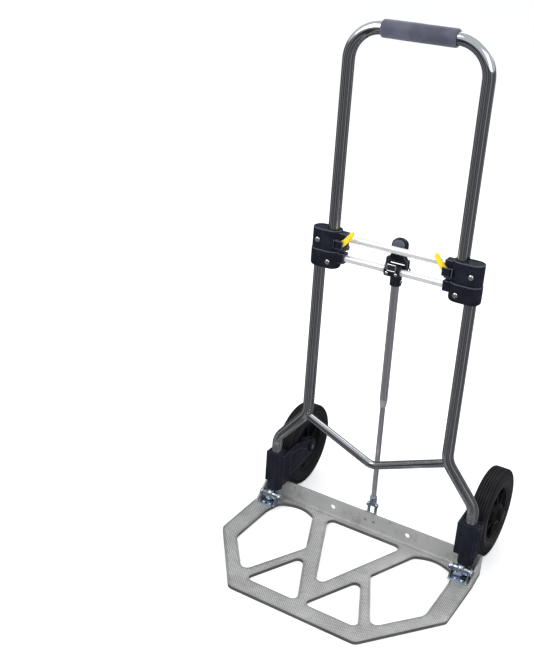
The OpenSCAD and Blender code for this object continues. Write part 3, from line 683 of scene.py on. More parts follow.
class Solid:
    """A closed mesh in the making."""

    def __init__(self) -> None:
        """Starts an empty mesh with a layer that marks its rounded edges."""
        self.bm = bmesh.new()
        self.edge = self.bm.faces.layers.float.new("edge")

    def loft(self, rings: Sequence[Ring], loop: bool = False, worn: Optional[set[int]] = None) -> "Solid":
        """Skins a row of rings with equal counts and caps its ends.

        Args:
            rings: The rings in order.
            loop: Whether the last ring joins the first, so that no cap is needed.
            worn: Numbers of the rings that lie on a rounded edge.

        Returns:
            This solid.
        """
        rows = [[self.bm.verts.new(p) for p in ring] for ring in rings]
        count = len(rows[0])
        pairs = list(zip(rows, rows[1:])) + ([(rows[-1], rows[0])] if loop else [])
        for row, (a, b) in enumerate(pairs):
            narrow = (a[0].co - b[0].co).length < WORN_STRIP
            share = narrow * sum(k in (worn or ()) for k in (row, row + 1)) / 2
            for i in range(count):
                j = (i + 1) % count
                self.bm.faces.new((a[i], a[j], b[j], b[i]))[self.edge] = share
        if not loop:
            self.bm.faces.new(list(reversed(rows[0])))
            self.bm.faces.new(rows[-1])
        return self

    def lathe(
        self, centre: Vector, axis: Vector, profile: Sequence[tuple[float, float]], count: int = 64
    ) -> "Solid":
        """Turns a closed outline about an axis.

        Args:
            centre: A point on the axis, where the profile's heights start.
            axis: The axis, a unit vector.
            profile: (radius, height) pairs; a solid piece starts and ends near radius 0.
            count: Points round the axis.

        Returns:
            This solid.
        """
        u = axis.orthogonal().normalized()
        v = axis.cross(u)
        solid = profile[0][0] < 1e-9 and profile[-1][0] < 1e-9
        kept = profile[1:-1] if solid else profile
        rings = [circle(centre + axis * h, u, v, r, count) for r, h in kept]
        return self.loft(rings, loop=not solid)

    def box(self, low: Vector, high: Vector) -> "Solid":
        """Adds a block between two corners."""
        made = bmesh.ops.create_cube(self.bm, size=1.0)
        size = high - low
        place = Matrix.Translation((low + high) / 2) @ Matrix.Diagonal((*size, 1.0))
        bmesh.ops.transform(self.bm, matrix=place, verts=made["verts"])
        return self

    def prism(self, outline: Sequence[Vector], along: Vector) -> "Solid":
        """Gives a flat outline a thickness: along is the vector from one face to the other."""
        return self.loft([list(outline), [p + along for p in outline]])

    def round_edges(self, width: float, steps: int = 2, sharp: float = 35.0) -> "Solid":
        """Rounds every edge that is sharper than an angle, and marks it as worn.

        Args:
            width: Width of the rounding in metres.
            steps: Flats in the round.
            sharp: The angle in degrees.

        Returns:
            This solid.
        """
        bmesh.ops.recalc_face_normals(self.bm, faces=self.bm.faces)
        limit = math.radians(sharp)
        found = [e for e in self.bm.edges if len(e.link_faces) == 2 and e.calc_face_angle(0.0) > limit]
        made = bmesh.ops.bevel(
            self.bm, geom=found, offset=width, segments=steps, profile=0.5, affect="EDGES", clamp_overlap=True
        )
        for face in made["faces"]:
            face[self.edge] = 1.0
        return self

    def piece(
        self, name: str, finish: Finish, body: str, stands_for: Sequence[str] = (), smooth: float = 40.0
    ) -> bpy.types.Object:
        """Ends the mesh as a piece that rides on a body.

        Args:
            name: The piece's name.
            finish: Its finish.
            body: The body that carries it.
            stands_for: The drawn nodes that it replaces.
            smooth: Edges sharper than this, in degrees, stay sharp in the shading.

        Returns:
            The object.
        """
        bmesh.ops.recalc_face_normals(self.bm, faces=self.bm.faces)
        mesh = bpy.data.meshes.new(name)
        self.bm.to_mesh(mesh)
        self.bm.free()
        mesh.shade_smooth()
        mesh.set_sharp_from_angle(angle=math.radians(smooth))
        mesh.materials.append(finish.material())
        made = bpy.data.objects.new(name, mesh)
        bpy.context.scene.collection.objects.link(made)
        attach(made, body)
        if stands_for:
            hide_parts(*stands_for)
        LOG.info("%s: %d faces on %s", name, len(mesh.polygons), body)
        return made


class Bent:
    """A polyline whose corners are bent to a radius, with a point at each step."""

    def __init__(self, corners: Sequence[Vector], radius: float, step: float) -> None:
        """Works out the line.

        Args:
            corners: Its ends and corners in order.
            radius: The radius of every bend in metres.
            step: The longest distance between points on the straights, in metres.
        """
        self.points: list[Vector] = []
        self.ways: list[Vector] = []
        start = corners[0]
        for before, here, after in zip(corners, corners[1:], corners[2:]):
            a, b = (here - before).normalized(), (after - here).normalized()
            turn = a.angle(b)
            cut = radius * math.tan(turn / 2)
            self._straight(start, here - a * cut, step)
            inward = (b - a).normalized()
            centre = here + inward * (radius / math.cos(turn / 2))
            arm = here - a * cut - centre
            axis = a.cross(b).normalized()
            count = max(2, math.ceil(math.degrees(turn) / 3.5))
            for i in range(1, count):
                spin = Matrix.Rotation(turn * i / count, 3, axis)
                self.points.append(centre + spin @ arm)
                self.ways.append(spin @ a)
            start = here + b * cut
        self._straight(start, corners[-1], step)

    def _straight(self, start: Vector, end: Vector, step: float) -> None:
        """Adds the points of one straight.

        Args:
            start: Its first point.
            end: Its last point.
            step: The longest distance between two points.
        """
        count = max(1, math.ceil((end - start).length / step))
        for i in range(count + 1):
            self.points.append(start.lerp(end, i / count))
            self.ways.append((end - start).normalized())

    def rings(self, radius: float, side: Vector, count: int = 48) -> list[Ring]:
        """Circles across the line; side is a direction square to all of it."""
        return [circle(p, side.cross(w).normalized(), side, radius, count) for p, w in zip(self.points, self.ways)]


def tube(line: Bent, radius: float, bore: float, side: Vector, count: int = 48) -> Solid:
    """A bent tube with open ends.

    Args:
        line: Its centreline.
        radius: Its outside radius.
        bore: Radius of its hole, or 0 for a bar.
        side: A direction square to the whole line.
        count: Points round it.

    Returns:
        The tube as a closed solid.
    """
    outer = line.rings(radius, side, count)
    if bore <= 0:
        return Solid().loft(outer)
    inner = line.rings(bore, side, count)
    return Solid().loft(outer + inner[::-1], loop=True)


def middle(node: str) -> Vector:
    """The middle of a node's box."""
    low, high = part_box(node)
    return (low + high) / 2


def reach(node: str) -> tuple[float, float]:
    """How far the near and the far side of a node's box stand from the truck's middle, along X."""
    low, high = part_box(node)
    near, far = sorted((abs(low.x), abs(high.x)))
    return near, far


def in_mm(profile: Sequence[tuple[float, float]]) -> list[tuple[float, float]]:
    """A profile given in millimetres, in metres."""
    return [(a * MM, b * MM) for a, b in profile]


def refined(
    node: str, finish: Finish, width: float, name: str = "", steps: int = 2, sharp: float = 35.0
) -> bpy.types.Object:
    """Copies a drawn node's shape into a piece with clean faces and rounded edges.

    Args:
        node: The node.
        finish: The piece's finish.
        width: Width of the edge rounding in metres.
        name: The piece's name; the node's with "_part" by default.
        steps: Flats in the round.
        sharp: Edges sharper than this, in degrees, are rounded.

    Returns:
        The piece.
    """
    source = frame["nodes"][node]
    solid = Solid()
    solid.bm.from_mesh(source.data)
    solid.edge = solid.bm.faces.layers.float.get("edge") or solid.bm.faces.layers.float.new("edge")
    bmesh.ops.remove_doubles(solid.bm, verts=solid.bm.verts, dist=2e-6)
    bmesh.ops.dissolve_limit(
        solid.bm, angle_limit=math.radians(1.0), verts=solid.bm.verts, edges=solid.bm.edges
    )
    if width > 0:
        solid.round_edges(width, steps, sharp)
    return solid.piece(name or node + "_part", finish, source["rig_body"], [node])


# ---------------------------------------------------------------- sub-assemblies


class Side(Enum):
    """A side of the truck, with the sign of its X."""

    LEFT = -1
    RIGHT = 1

    @property
    def word(self) -> str:
        """The side's name as the nodes spell it."""
        return self.name.lower()


def legs_y() -> float:
    """Y of the plane of the leg tubes."""
    return middle("left_leg_tube").y


@dataclass
class Tubes:
    """The chromed legs, handle, crossbar and tie bars."""

    tube_d: float = 22.0
    wall: float = 1.5
    bend_low_z: float = 155.0
    bend_high_z: float = 234.0
    leg_bend_r: float = 45.0
    handle_bend_r: float = 58.0
    cross_d: float = 16.0
    cross_drop: float = 62.0
    cross_bow_r: float = 30.0
    cross_inset: float = 5.0
    step: float = 3.0
    dent_depth: float = 2.6
    dent_reach: float = 9.0
    dent_z: float = 139.0
    dent_in: float = 4.0
    tie_chamfer: float = 0.8

    def build(self) -> None:
        """Builds every tube and bar."""
        for side in Side:
            self.leg(side)
        self.handle()
        self.crossbar()
        for node, body in (("upper_tie_bar", "frame"), ("lower_tie_bar", "handle")):
            self.tie_bar(node, body)

    def leg(self, side: Side) -> None:
        """Builds a leg tube, with the dimple pressed into it above its bracket."""
        node = f"{side.word}_leg_tube"
        low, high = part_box(node)
        r = self.tube_d / 2 * MM
        near, far = reach(node)
        inner_x, outer_x = near + r, far - r
        x_of = side.value
        y = legs_y()
        corners = [
            Vector((x_of * outer_x, y, low.z)),
            Vector((x_of * outer_x, y, self.bend_low_z * MM)),
            Vector((x_of * inner_x, y, self.bend_high_z * MM)),
            Vector((x_of * inner_x, y, high.z)),
        ]
        line = Bent(corners, self.leg_bend_r * MM, self.step * MM)
        solid = tube(line, r, r - self.wall * MM, Y_AXIS)
        dimple = Vector((x_of * (outer_x - self.dent_in * MM), y - r, self.dent_z * MM))
        for vert in solid.bm.verts:
            near = math.exp(-(((vert.co - dimple).length / (self.dent_reach * MM)) ** 2) * 2)
            vert.co.y += near * self.dent_depth * MM
        solid.piece(f"{side.word}_leg", FINISHES[Slot.CHROME], "frame", [node])

    def handle(self) -> None:
        """Builds the looped handle tube."""
        low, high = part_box("handle_tube")
        r = self.tube_d / 2 * MM
        x, top, y = high.x - r, high.z - r, legs_y()
        corners = [Vector((-x, y, low.z)), Vector((-x, y, top)), Vector((x, y, top)), Vector((x, y, low.z))]
        line = Bent(corners, self.handle_bend_r * MM, 4 * self.step * MM)
        tube(line, r, r - self.wall * MM, Y_AXIS).piece(
            "handle_loop", FINISHES[Slot.CHROME], "handle", ["handle_tube"]
        )

    def crossbar(self) -> None:
        """Builds the V-shaped crossbar; its ends run into the legs."""
        node = "left_leg_tube"
        inner_x = -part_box(node)[1].x + self.tube_d / 2 * MM
        y = legs_y()
        end_z = (self.bend_high_z - self.cross_inset) * MM
        corners = [
            Vector((-inner_x, y, end_z)),
            Vector((0, y, end_z - self.cross_drop * MM)),
            Vector((inner_x, y, end_z)),
        ]
        line = Bent(corners, self.cross_bow_r * MM, 4 * self.step * MM)
        tube(line, self.cross_d / 2 * MM, 0, Y_AXIS).piece(
            "crossbar_v", FINISHES[Slot.CHROME], "frame", ["crossbar"]
        )

    def tie_bar(self, node: str, body: str) -> None:
        """Builds a tie bar with chamfered ends.

        Args:
            node: The drawn bar.
            body: The body that carries it.
        """
        low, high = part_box(node)
        r = (high.z - low.z) / 2
        length = high.x - low.x
        chamfer = self.tie_chamfer * MM
        start = Vector((low.x, (low.y + high.y) / 2, (low.z + high.z) / 2))
        profile = [(0, 0), (r - chamfer, 0), (r, chamfer), (r, length / 2), (r, length - chamfer)]
        profile += [(r - chamfer, length), (0, length)]
        Solid().lathe(start, X_AXIS, profile, 48).piece(node + "_bar", BAR, body, [node])


@dataclass
class Grip:
    """The foam grip on the handle."""

    swell: float = 0.25
    end_round: float = 3.0
    foam: float = 4.4
    count: int = 72
    rings: int = 60

    def build(self) -> None:
        """Builds the grip: a thick foam sleeve, a little swollen and uneven, with rolled ends."""
        low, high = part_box("foam_grip")
        centre = (low + high) / 2
        radius = (high.z - low.z) / 2 - self.swell * MM
        length = high.x - low.x
        bore = radius - self.foam * MM
        edge = self.end_round * MM
        outline = [(bore, edge * 0.6)] + [(radius - i, r) for i, r in quarter(edge, 5)]
        span = [edge + (length - 2 * edge) * i / self.rings for i in range(1, self.rings)]
        outline += [(radius, h) for h in span]
        outline += [(radius - i, length - edge + r) for i, r in quarter(edge, 5, rising=False)]
        outline += [(bore, length - edge * 0.6)]
        solid = Solid().lathe(Vector((low.x, centre.y, centre.z)), X_AXIS, outline, self.count)
        for vert in solid.bm.verts:
            arm = vert.co - Vector((vert.co.x, centre.y, centre.z))
            if arm.length > bore + 1e-6:
                along = (vert.co.x - centre.x) / length
                turn = math.atan2(arm.z, arm.y)
                wave = math.sin(11 * along + 2 * turn) + math.sin(23 * along - 3 * turn + 1.0)
                vert.co += arm.normalized() * self.swell * MM * (wave / 4 + 0.5 * math.cos(math.pi * along))
        grip = solid.piece("foam_sleeve", FINISHES[Slot.FOAM], "handle", ["foam_grip"])


LIP_BREAK = 0.5 * MM
LIP_DRAFT = 0.8 * MM


@dataclass
class Collar:
    """One of the four moulded collars that join a leg tube and the handle tube."""

    side: Side
    upper: bool
    top_round: float = 1.6
    foot_round: float = 6.0
    lip: float = 1.6
    tray: float = 1.4
    step_out: float = 0.9
    lug_round: float = 1.2
    lug_long: float = 17.0
    lug_wall: float = 2.5
    lug_cover: float = 3.0
    lug_step: float = 2.0
    cheek_out: float = 11.0
    cheek_t: float = 2.6
    cheek_half: float = 8.0

    def __post_init__(self) -> None:
        """Reads the collar's place from its node."""
        self.node = f"{self.side.word}_{'upper' if self.upper else 'lower'}_collar"
        self.body = "frame" if self.upper else "handle"
        self.low, self.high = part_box(self.node)
        self.sign = self.side.value

    def build(self) -> None:
        """Builds the block, its lug and its raised details."""
        self.block()
        self.lug()

    def block(self) -> None:
        """Builds the stadium block: rounded rims, and a tray in the top of an upper collar."""
        y = legs_y()
        r = (self.high.y - self.low.y) / 2
        outer = reach(self.node)[1] - r
        inner = reach("handle_tube")[1] - Tubes.tube_d / 2 * MM
        z0, z1 = self.low.z, self.high.z
        out = 0.0 if self.upper else self.step_out * MM
        foot = (self.top_round if self.upper else self.foot_round) * MM
        top = self.top_round * MM
        steps = [(i - out, z0 + h) for i, h in quarter(foot, 6)]
        steps += [(i - out, z1 - top + h) for i, h in quarter(top, 4, rising=False)]
        worn = set(range(len(steps) - 5, len(steps)))
        if self.upper:
            lip, tray = self.lip * MM, self.tray * MM
            steps += [(lip, z1), (lip + LIP_BREAK, z1 - LIP_BREAK), (lip + LIP_DRAFT, z1 - tray)]
            worn |= {len(steps) - 3}
        ends = sorted((self.sign * inner, self.sign * outer))
        rings = [stadium(ends[0], ends[1], y, z, r - inset, 16) for inset, z in steps]
        Solid().loft(rings, worn=worn).piece(
            self.node + "_block", FINISHES[Slot.COLLAR], self.body, [self.node], smooth=50
        )

    def lug(self) -> None:
        """Builds the lug that holds the tie bar, and on an upper collar the cheek over the lever's root."""
        bar_low, bar_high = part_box(f"{'upper' if self.upper else 'lower'}_tie_bar")
        z = (bar_low.z + bar_high.z) / 2
        r = (bar_high.z - bar_low.z) / 2
        y = legs_y()
        tip = reach(self.node)[0]
        root = tip + self.lug_long * MM
        half_y = r + self.lug_wall * MM
        rise, step = r + self.lug_cover * MM, self.lug_step * MM
        z0, z1 = (self.low.z + step, z + rise) if self.upper else (z - rise, self.high.z - step)
        xs = sorted((self.sign * tip, self.sign * root))
        solid = Solid().box(Vector((xs[0], y - half_y, z0)), Vector((xs[1], y + half_y, z1)))
        if self.upper:
            front = y - half_y - self.cheek_out * MM
            pin_z, tall = middle("lever_pins").z, self.cheek_half * MM
            cheek = (tip - 0.5 * MM, tip + 18 * MM, front + self.cheek_t * MM)
            back_wall = (tip + 13.5 * MM, tip + 19 * MM, y)
            for near, far, back in (cheek, back_wall):
                span = sorted((self.sign * near, self.sign * far))
                solid.box(Vector((span[0], front, pin_z - tall)), Vector((span[1], back, pin_z + tall)))
        solid.round_edges(self.lug_round * MM, 3)
        solid.piece(self.node + "_lug", FINISHES[Slot.COLLAR], self.body)


@dataclass
class Studs:
    """Domed rivet heads."""

    node: str
    axis: Vector
    head_r: float
    head_h: float
    both_ends: bool = True

    def places(self) -> list[tuple[Vector, Vector]]:
        """The lowest and highest corner of each separate solid in the node."""
        bm = bmesh.new()
        bm.from_mesh(frame["nodes"][self.node].data)
        bmesh.ops.remove_doubles(bm, verts=bm.verts, dist=2e-6)
        left, boxes = set(bm.verts), []
        while left:
            group, queue = set(), [next(iter(left))]
            while queue:
                vert = queue.pop()
                if vert not in group:
                    group.add(vert)
                    queue += [e.other_vert(vert) for e in vert.link_edges]
            left -= group
            co = [v.co for v in group]
            boxes.append((Vector(map(min, zip(*co))), Vector(map(max, zip(*co)))))
        bm.free()
        return boxes

    def build(self, finish: Finish) -> None:
        """Builds the node's rivets as one piece."""
        solid = Solid()
        r, h = self.head_r * MM, self.head_h * MM
        for low, high in self.places():
            centre = (low + high) / 2
            half = abs((high - low).dot(self.axis)) / 2
            for way in (self.axis, -self.axis) if self.both_ends else (self.axis,):
                foot = centre + way * (half - h)
                dome = [(0, -0.4 * MM), (r, -0.4 * MM)]
                dome += [(r * math.cos(a), h * math.sin(a)) for a in turns(0, math.pi / 2, 8)[:-1]]
                dome += [(r * 0.06, h), (0, h)]
                solid.lathe(foot, way, dome, 32)
        body = frame["nodes"][self.node]["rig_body"]
        solid.piece(self.node + "_heads", finish, body, [self.node])


@dataclass
class Lever:
    """A yellow release lever: a thick root that tapers to a blunt, curved tip."""

    side: Side
    width: float = 12.0
    thick: float = 6.6
    reach: float = 35.0
    lean: float = 51.0
    curl: float = 15.0
    taper: float = 0.66

    def build(self) -> None:
        """Sweeps a rounded section along a curl that rises from the lug."""
        node = f"{self.side.word}_release_lever"
        low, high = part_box(node)
        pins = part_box("lever_pins")
        pin_x = pins[1].x - 3 * MM
        root = Vector((self.side.value * pin_x, (low.y + high.y) / 2, middle("lever_pins").z))
        rings = []
        count, steps = 24, 22
        way = math.radians(self.lean - self.curl)
        spot = root - Vector((-self.side.value * math.cos(way), 0, math.sin(way))) * 4 * MM
        length = (self.reach + 4) * MM
        for i in range(steps + 1):
            share = i / steps
            angle = math.radians(self.lean - self.curl + 2 * self.curl * share)
            ahead = Vector((-self.side.value * math.cos(angle), 0, math.sin(angle)))
            across = Vector((self.side.value * math.sin(angle), 0, math.cos(angle)))
            ends = min(1.0, math.sqrt(max(0.02, 1 - (max(0, 0.12 - share) / 0.12) ** 2)))
            ends *= min(1.0, math.sqrt(max(0.10, 1 - (max(0, share - 0.92) / 0.085) ** 2)))
            w = self.width / 2 * MM * (1 - (1 - self.taper) * share) * ends
            t = self.thick / 2 * MM * (0.75 + 0.25 * ends)
            ring = []
            for k in range(count):
                a = 2 * math.pi * k / count
                c, s = math.cos(a), math.sin(a)
                round_c = math.copysign(abs(c) ** 0.6, c)
                round_s = math.copysign(abs(s) ** 0.6, s)
                ring.append(spot + across * (w * round_c) + Y_AXIS * (t * round_s))
            rings.append(ring)
            spot = spot + ahead * (length / steps)
        body = f"{self.side.word}_lever"
        Solid().loft(rings).piece(f"{self.side.word}_lever_blade", FINISHES[Slot.LEVER], body, [node], smooth=60)


@dataclass
class Plate:
    """The cast toe plate with its rounded rims and knurled top."""

    rim: float = 1.3
    pitch: float = 5.2
    dot: float = 3.0
    dot_h: float = 0.7
    margin: float = 4.5
    rim_step: float = 1.5
    smooth_y: float = 8.0

    def build(self) -> None:
        """Builds the casting and the knurl on it."""
        refined("toe_plate", FINISHES[Slot.CAST], self.rim * MM, "cast_plate", 3)
        self.knurl()

    def outlines(self) -> list[list[Vector]]:
        """The closed outlines of the plate's under face: its border and its windows."""
        bm = bmesh.new()
        bm.from_mesh(frame["nodes"]["toe_plate"].data)
        bmesh.ops.remove_doubles(bm, verts=bm.verts, dist=2e-6)
        under = {f for f in bm.faces if all(v.co.z < 1e-5 for v in f.verts)}
        links: dict[int, list[int]] = {}
        spots = {}
        for edge in {e for f in under for e in f.edges}:
            if len([f for f in edge.link_faces if f in under]) == 1:
                a, b = edge.verts
                spots[a.index], spots[b.index] = a.co.copy(), b.co.copy()
                links.setdefault(a.index, []).append(b.index)
                links.setdefault(b.index, []).append(a.index)
        bm.free()
        loops = []
        while links:
            start = next(iter(links))
            loop, here = [start], links.pop(start)[0]
            while here != start:
                loop.append(here)
                here = next(n for n in links.pop(here) if n != loop[-2] and (n == start or n in links))
            loops.append([spots[i] for i in loop])
        return loops

    def knurl(self) -> None:
        """Covers the top with small four-sided points, clear of every edge and of the brackets."""
        loops = self.outlines()
        low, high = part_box("toe_plate")
        top = plate_top()
        rim_spots = []
        for loop in loops:
            for a, b in zip(loop, loop[1:] + loop[:1]):
                count = max(1, math.ceil((b - a).length / (self.rim_step * MM)))
                rim_spots += [a.lerp(b, i / count) for i in range(count)]
        edges = KDTree(len(rim_spots))
        for spot in rim_spots:
            edges.insert(Vector((spot.x, spot.y, 0)), 0)
        edges.balance()
        guards = [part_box(f"{side.word}_hinge_bracket") for side in Side]
        back = high.y - (self.smooth_y + 4) * MM
        solid = Solid()
        pitch = self.pitch * MM
        half, rise = self.dot / 2 * MM, self.dot_h * MM
        for row in range(int((high.y - low.y) / pitch * 2)):
            y = low.y + row * pitch / 2
            for column in range(int((high.x - low.x) / pitch) + 1):
                x = low.x + (column + 0.5 * (row % 2)) * pitch
                spot = Vector((x, y, 0))
                if y > back or edges.find(spot)[2] < self.margin * MM or not inside(spot, loops):
                    continue
                if any(g[0].x - half < x < g[1].x + half and g[0].y - half < y for g in guards):
                    continue
                corners = ((half, 0), (0, half), (-half, 0), (0, -half))
                base = [Vector((x + dx, y + dy, top - 0.2 * MM)) for dx, dy in corners]
                crown = [Vector((x + (p.x - x) * 0.25, y + (p.y - y) * 0.25, top + rise)) for p in base]
                solid.loft([base, crown])
        solid.piece("plate_knurl", KNURL, "plate", smooth=20)


def plate_top() -> float:
    """Height of the top of the toe plate."""
    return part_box("left_hinge_bracket")[0].z


def inside(spot: Vector, loops: Sequence[Sequence[Vector]]) -> bool:
    """Whether a point lies on the metal: an odd number of outlines wind round it.

    Args:
        spot: The point.
        loops: Closed outlines.

    Returns:
        True on the metal.
    """
    odd = False
    for loop in loops:
        for a, b in zip(loop, list(loop[1:]) + [loop[0]]):
            if (a.y > spot.y) != (b.y > spot.y) and spot.x < (b.x - a.x) * (spot.y - a.y) / (b.y - a.y) + a.x:
                odd = not odd
    return odd


@dataclass
class Wheel:
    """A wheel with its grooved tyre and ribbed hub, and the trim of its bracket."""

    side: Side
    hub_r: float = 58.0
    groove_w: float = 1.7
    groove_depth: float = 2.2
    groove_pitch: float = 5.2
    shoulder_r: float = 7.0
    rib_count: int = 6
    cap_r: float = 13.0
    cap_h: float = 9.0
    cap_over: float = 1.5
    cap_wall: float = 0.55
    rib_w: float = 2.4
    rib_h: float = 1.4
    rib_sunk: float = 0.4

    def __post_init__(self) -> None:
        """Reads the wheel's place from its tyre."""
        low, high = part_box(f"{self.side.word}_tyre")
        self.centre = (low + high) / 2
        self.radius = (high.z - low.z) / 2 / MM
        self.half = (high.x - low.x) / 2 / MM

    def build(self) -> None:
        """Builds the tyre, the hub and the trim."""
        self.tyre()
        self.hub()
        self.nut_cap()
        self.bolt_boss()
        self.arm_ribs()

    def tyre(self) -> None:
        """Turns the tyre: rounded grooves in the tread, beads and steps on the side walls."""
        r, w = self.radius, self.half
        s = self.shoulder_r
        side = [(self.hub_r + 0.04, w - 3), (self.hub_r + 3, w - 1.2), (self.hub_r + 5, w - 0.6)]
        side += [(r - 21, w - 0.6), (r - 20, w), (r - 17.5, w), (r - 16.8, w - 0.9), (r - 13, w - 0.9)]
        side += [(r - 12.4, w - 0.2), (r - 11.2, w - 0.2), (r - 10.6, w - 0.8), (r - s - 1, w - 0.8)]
        round_over = [(r - s + s * math.sin(a), w - s + (s - 0.8) * math.cos(a)) for a in turns(0.05, math.pi / 2, 6)]
        tread = []
        for i in range(2, -3, -1):
            c, g, d = i * self.groove_pitch, self.groove_w / 2, self.groove_depth
            tread += [(r, c + g + 0.35), (r - 0.25, c + g), (r - d + 0.4, c + g * 0.7), (r - d, c + g * 0.3)]
            tread += [(r - d, c - g * 0.3), (r - d + 0.4, c - g * 0.7), (r - 0.25, c - g), (r, c - g - 0.35)]
        front = side + round_over
        back = [(radius, -h) for radius, h in reversed(front)]
        solid = Solid().lathe(self.centre, X_AXIS, in_mm(front + tread + back), 144)
        for face in solid.bm.faces:
            spot = face.verts[0].co - self.centre
            arm = Vector((0, spot.y, spot.z)).length / MM
            face[solid.edge] = float(r - 17 < arm < r - 12.5)
        solid.piece(
            f"{self.side.word}_tyre_tread", FINISHES[Slot.TYRE], f"{self.side.word}_wheel",
            [f"{self.side.word}_tyre"], smooth=50,
        )

    def hub(self) -> None:
        """Refines the hub and adds radial ribs on both of its faces."""
        word = self.side.word
        refined(f"{word}_hub", FINISHES[Slot.HUB], 0.5 * MM, f"{word}_hub_disc", 1, 50)
        refined(f"{word}_hub_cap", FINISHES[Slot.HUB], 0.4 * MM, f"{word}_hub_ring", 2)
        solid = Solid()
        for way in (-1, 1):
            for i in range(self.rib_count):
                a = 2 * math.pi * (i + 0.5) / self.rib_count
                out = Vector((0, math.cos(a), math.sin(a)))
                across = Vector((0, -math.sin(a), math.cos(a)))
                corners = ((20, 3), (53, 3), (53, 10), (20, 14))
                outline = [self.centre + (out * arm + X_AXIS * way * lift) * MM for arm, lift in corners]
                solid.prism([p - across * 1.5 * MM for p in outline], across * 3 * MM)
        solid.round_edges(0.5 * MM, 1)
        solid.piece(f"{word}_hub_ribs", FINISHES[Slot.HUB], f"{word}_wheel")

    def nut_cap(self) -> None:
        """Turns the dust cap over the axle nut."""
        word, way = self.side.word, self.side.value
        r, h = self.cap_r, self.cap_h
        end = reach(f"{word}_axle")[1] + (self.cap_over - h) * MM
        wall = h * self.cap_wall
        profile = [(0, 0), (r, 0), (r, wall)]
        profile += [(r - 3 * (1 - math.cos(a)), wall + (h - wall) * math.sin(a)) for a in turns(0.2, 1.3, 5)]
        profile += [(r * 0.3, h), (0, h)]
        Solid().lathe(Vector((way * end, self.centre.y, self.centre.z)), X_AXIS * way, in_mm(profile), 48).piece(
            f"{word}_nut_cap", FINISHES[Slot.HUB], f"{word}_wheel"
        )

    def bolt_boss(self) -> None:
        """Turns the moulded ring round the head of the axle bolt."""
        word, way = self.side.word, self.side.value
        start = Vector((way * reach(f"{word}_axle")[0], self.centre.y, self.centre.z))
        profile = [(5.0, 0.8), (6.0, 0.1), (9.4, 0.1), (10.6, 1.2), (11.0, 4.2), (5.0, 4.2)]
        Solid().lathe(start, X_AXIS * way, in_mm(profile), 48).piece(
            f"{word}_bolt_boss", FINISHES[Slot.COLLAR], f"{word}_bracket"
        )

    def arm_ribs(self) -> None:
        """Raises the triangle of ribs on the inner face of the bracket's arm."""
        word, way = self.side.word, self.side.value
        face = reach(f"{word}_wheel_bracket")[0] + self.rib_sunk * MM
        y, z = legs_y(), self.centre.z
        spots = [(18, -30), (82, -12), (86, 4), (50, 22), (18, 24)]
        corners = [Vector((way * face, y + a * MM, z + b * MM)) for a, b in spots]
        solid = Solid()
        for a, b in zip(corners, corners[1:] + corners[:1]):
            along = (b - a).normalized() * self.rib_w / 2 * MM
            across = along.cross(X_AXIS)
            low_face = [a - along - across, b + along - across, b + along + across, a - along + across]
            solid.prism(low_face, X_AXIS * (-way * self.rib_h * MM))
        solid.round_edges(0.4 * MM, 2)
        solid.piece(f"{word}_arm_ribs", FINISHES[Slot.COLLAR], f"{word}_bracket")


@dataclass
class Hinge:
    """The domed ends of a hinge bolt and the rolled strap round the knuckle."""

    side: Side
    strap_r: float = 12.4
    strap_half: float = 6.5
    dome_r: float = 6.4
    dome_h: float = 3.4
    dome_sunk: float = 0.8

    def build(self) -> None:
        """Builds the strap and the domes."""
        word = self.side.word
        low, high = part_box(f"{word}_hinge_pin")
        axis = (low + high) / 2
        foot = middle(f"{word}_leg_foot")
        r, w = self.strap_r, self.strap_half
        profile = [(7.6, -w), (r - 2.6, -w), (r - 1.0, -w + 1.0), (r, -w + 3.0), (r + 0.3, 0)]
        profile += [(a, -b) for a, b in profile[-2::-1]]
        start = Vector((foot.x, axis.y, axis.z))
        Solid().lathe(start, X_AXIS, in_mm(profile), 56).piece(
            f"{word}_knuckle_strap", FINISHES[Slot.ZINC], "frame"
        )
        solid = Solid()
        arc = [(self.dome_r * math.cos(a), self.dome_h * math.sin(a)) for a in turns(0, 1.45, 7)]
        dome = in_mm([(0, -1), (self.dome_r, -1)] + arc + [(0, self.dome_h)])
        for end, way in ((low, -X_AXIS), (high, X_AXIS)):
            solid.lathe(Vector((end.x, axis.y, axis.z)) - way * self.dome_sunk * MM, way, dome, 32)
        solid.piece(f"{word}_hinge_bolt_domes", FINISHES[Slot.ZINC], "plate")


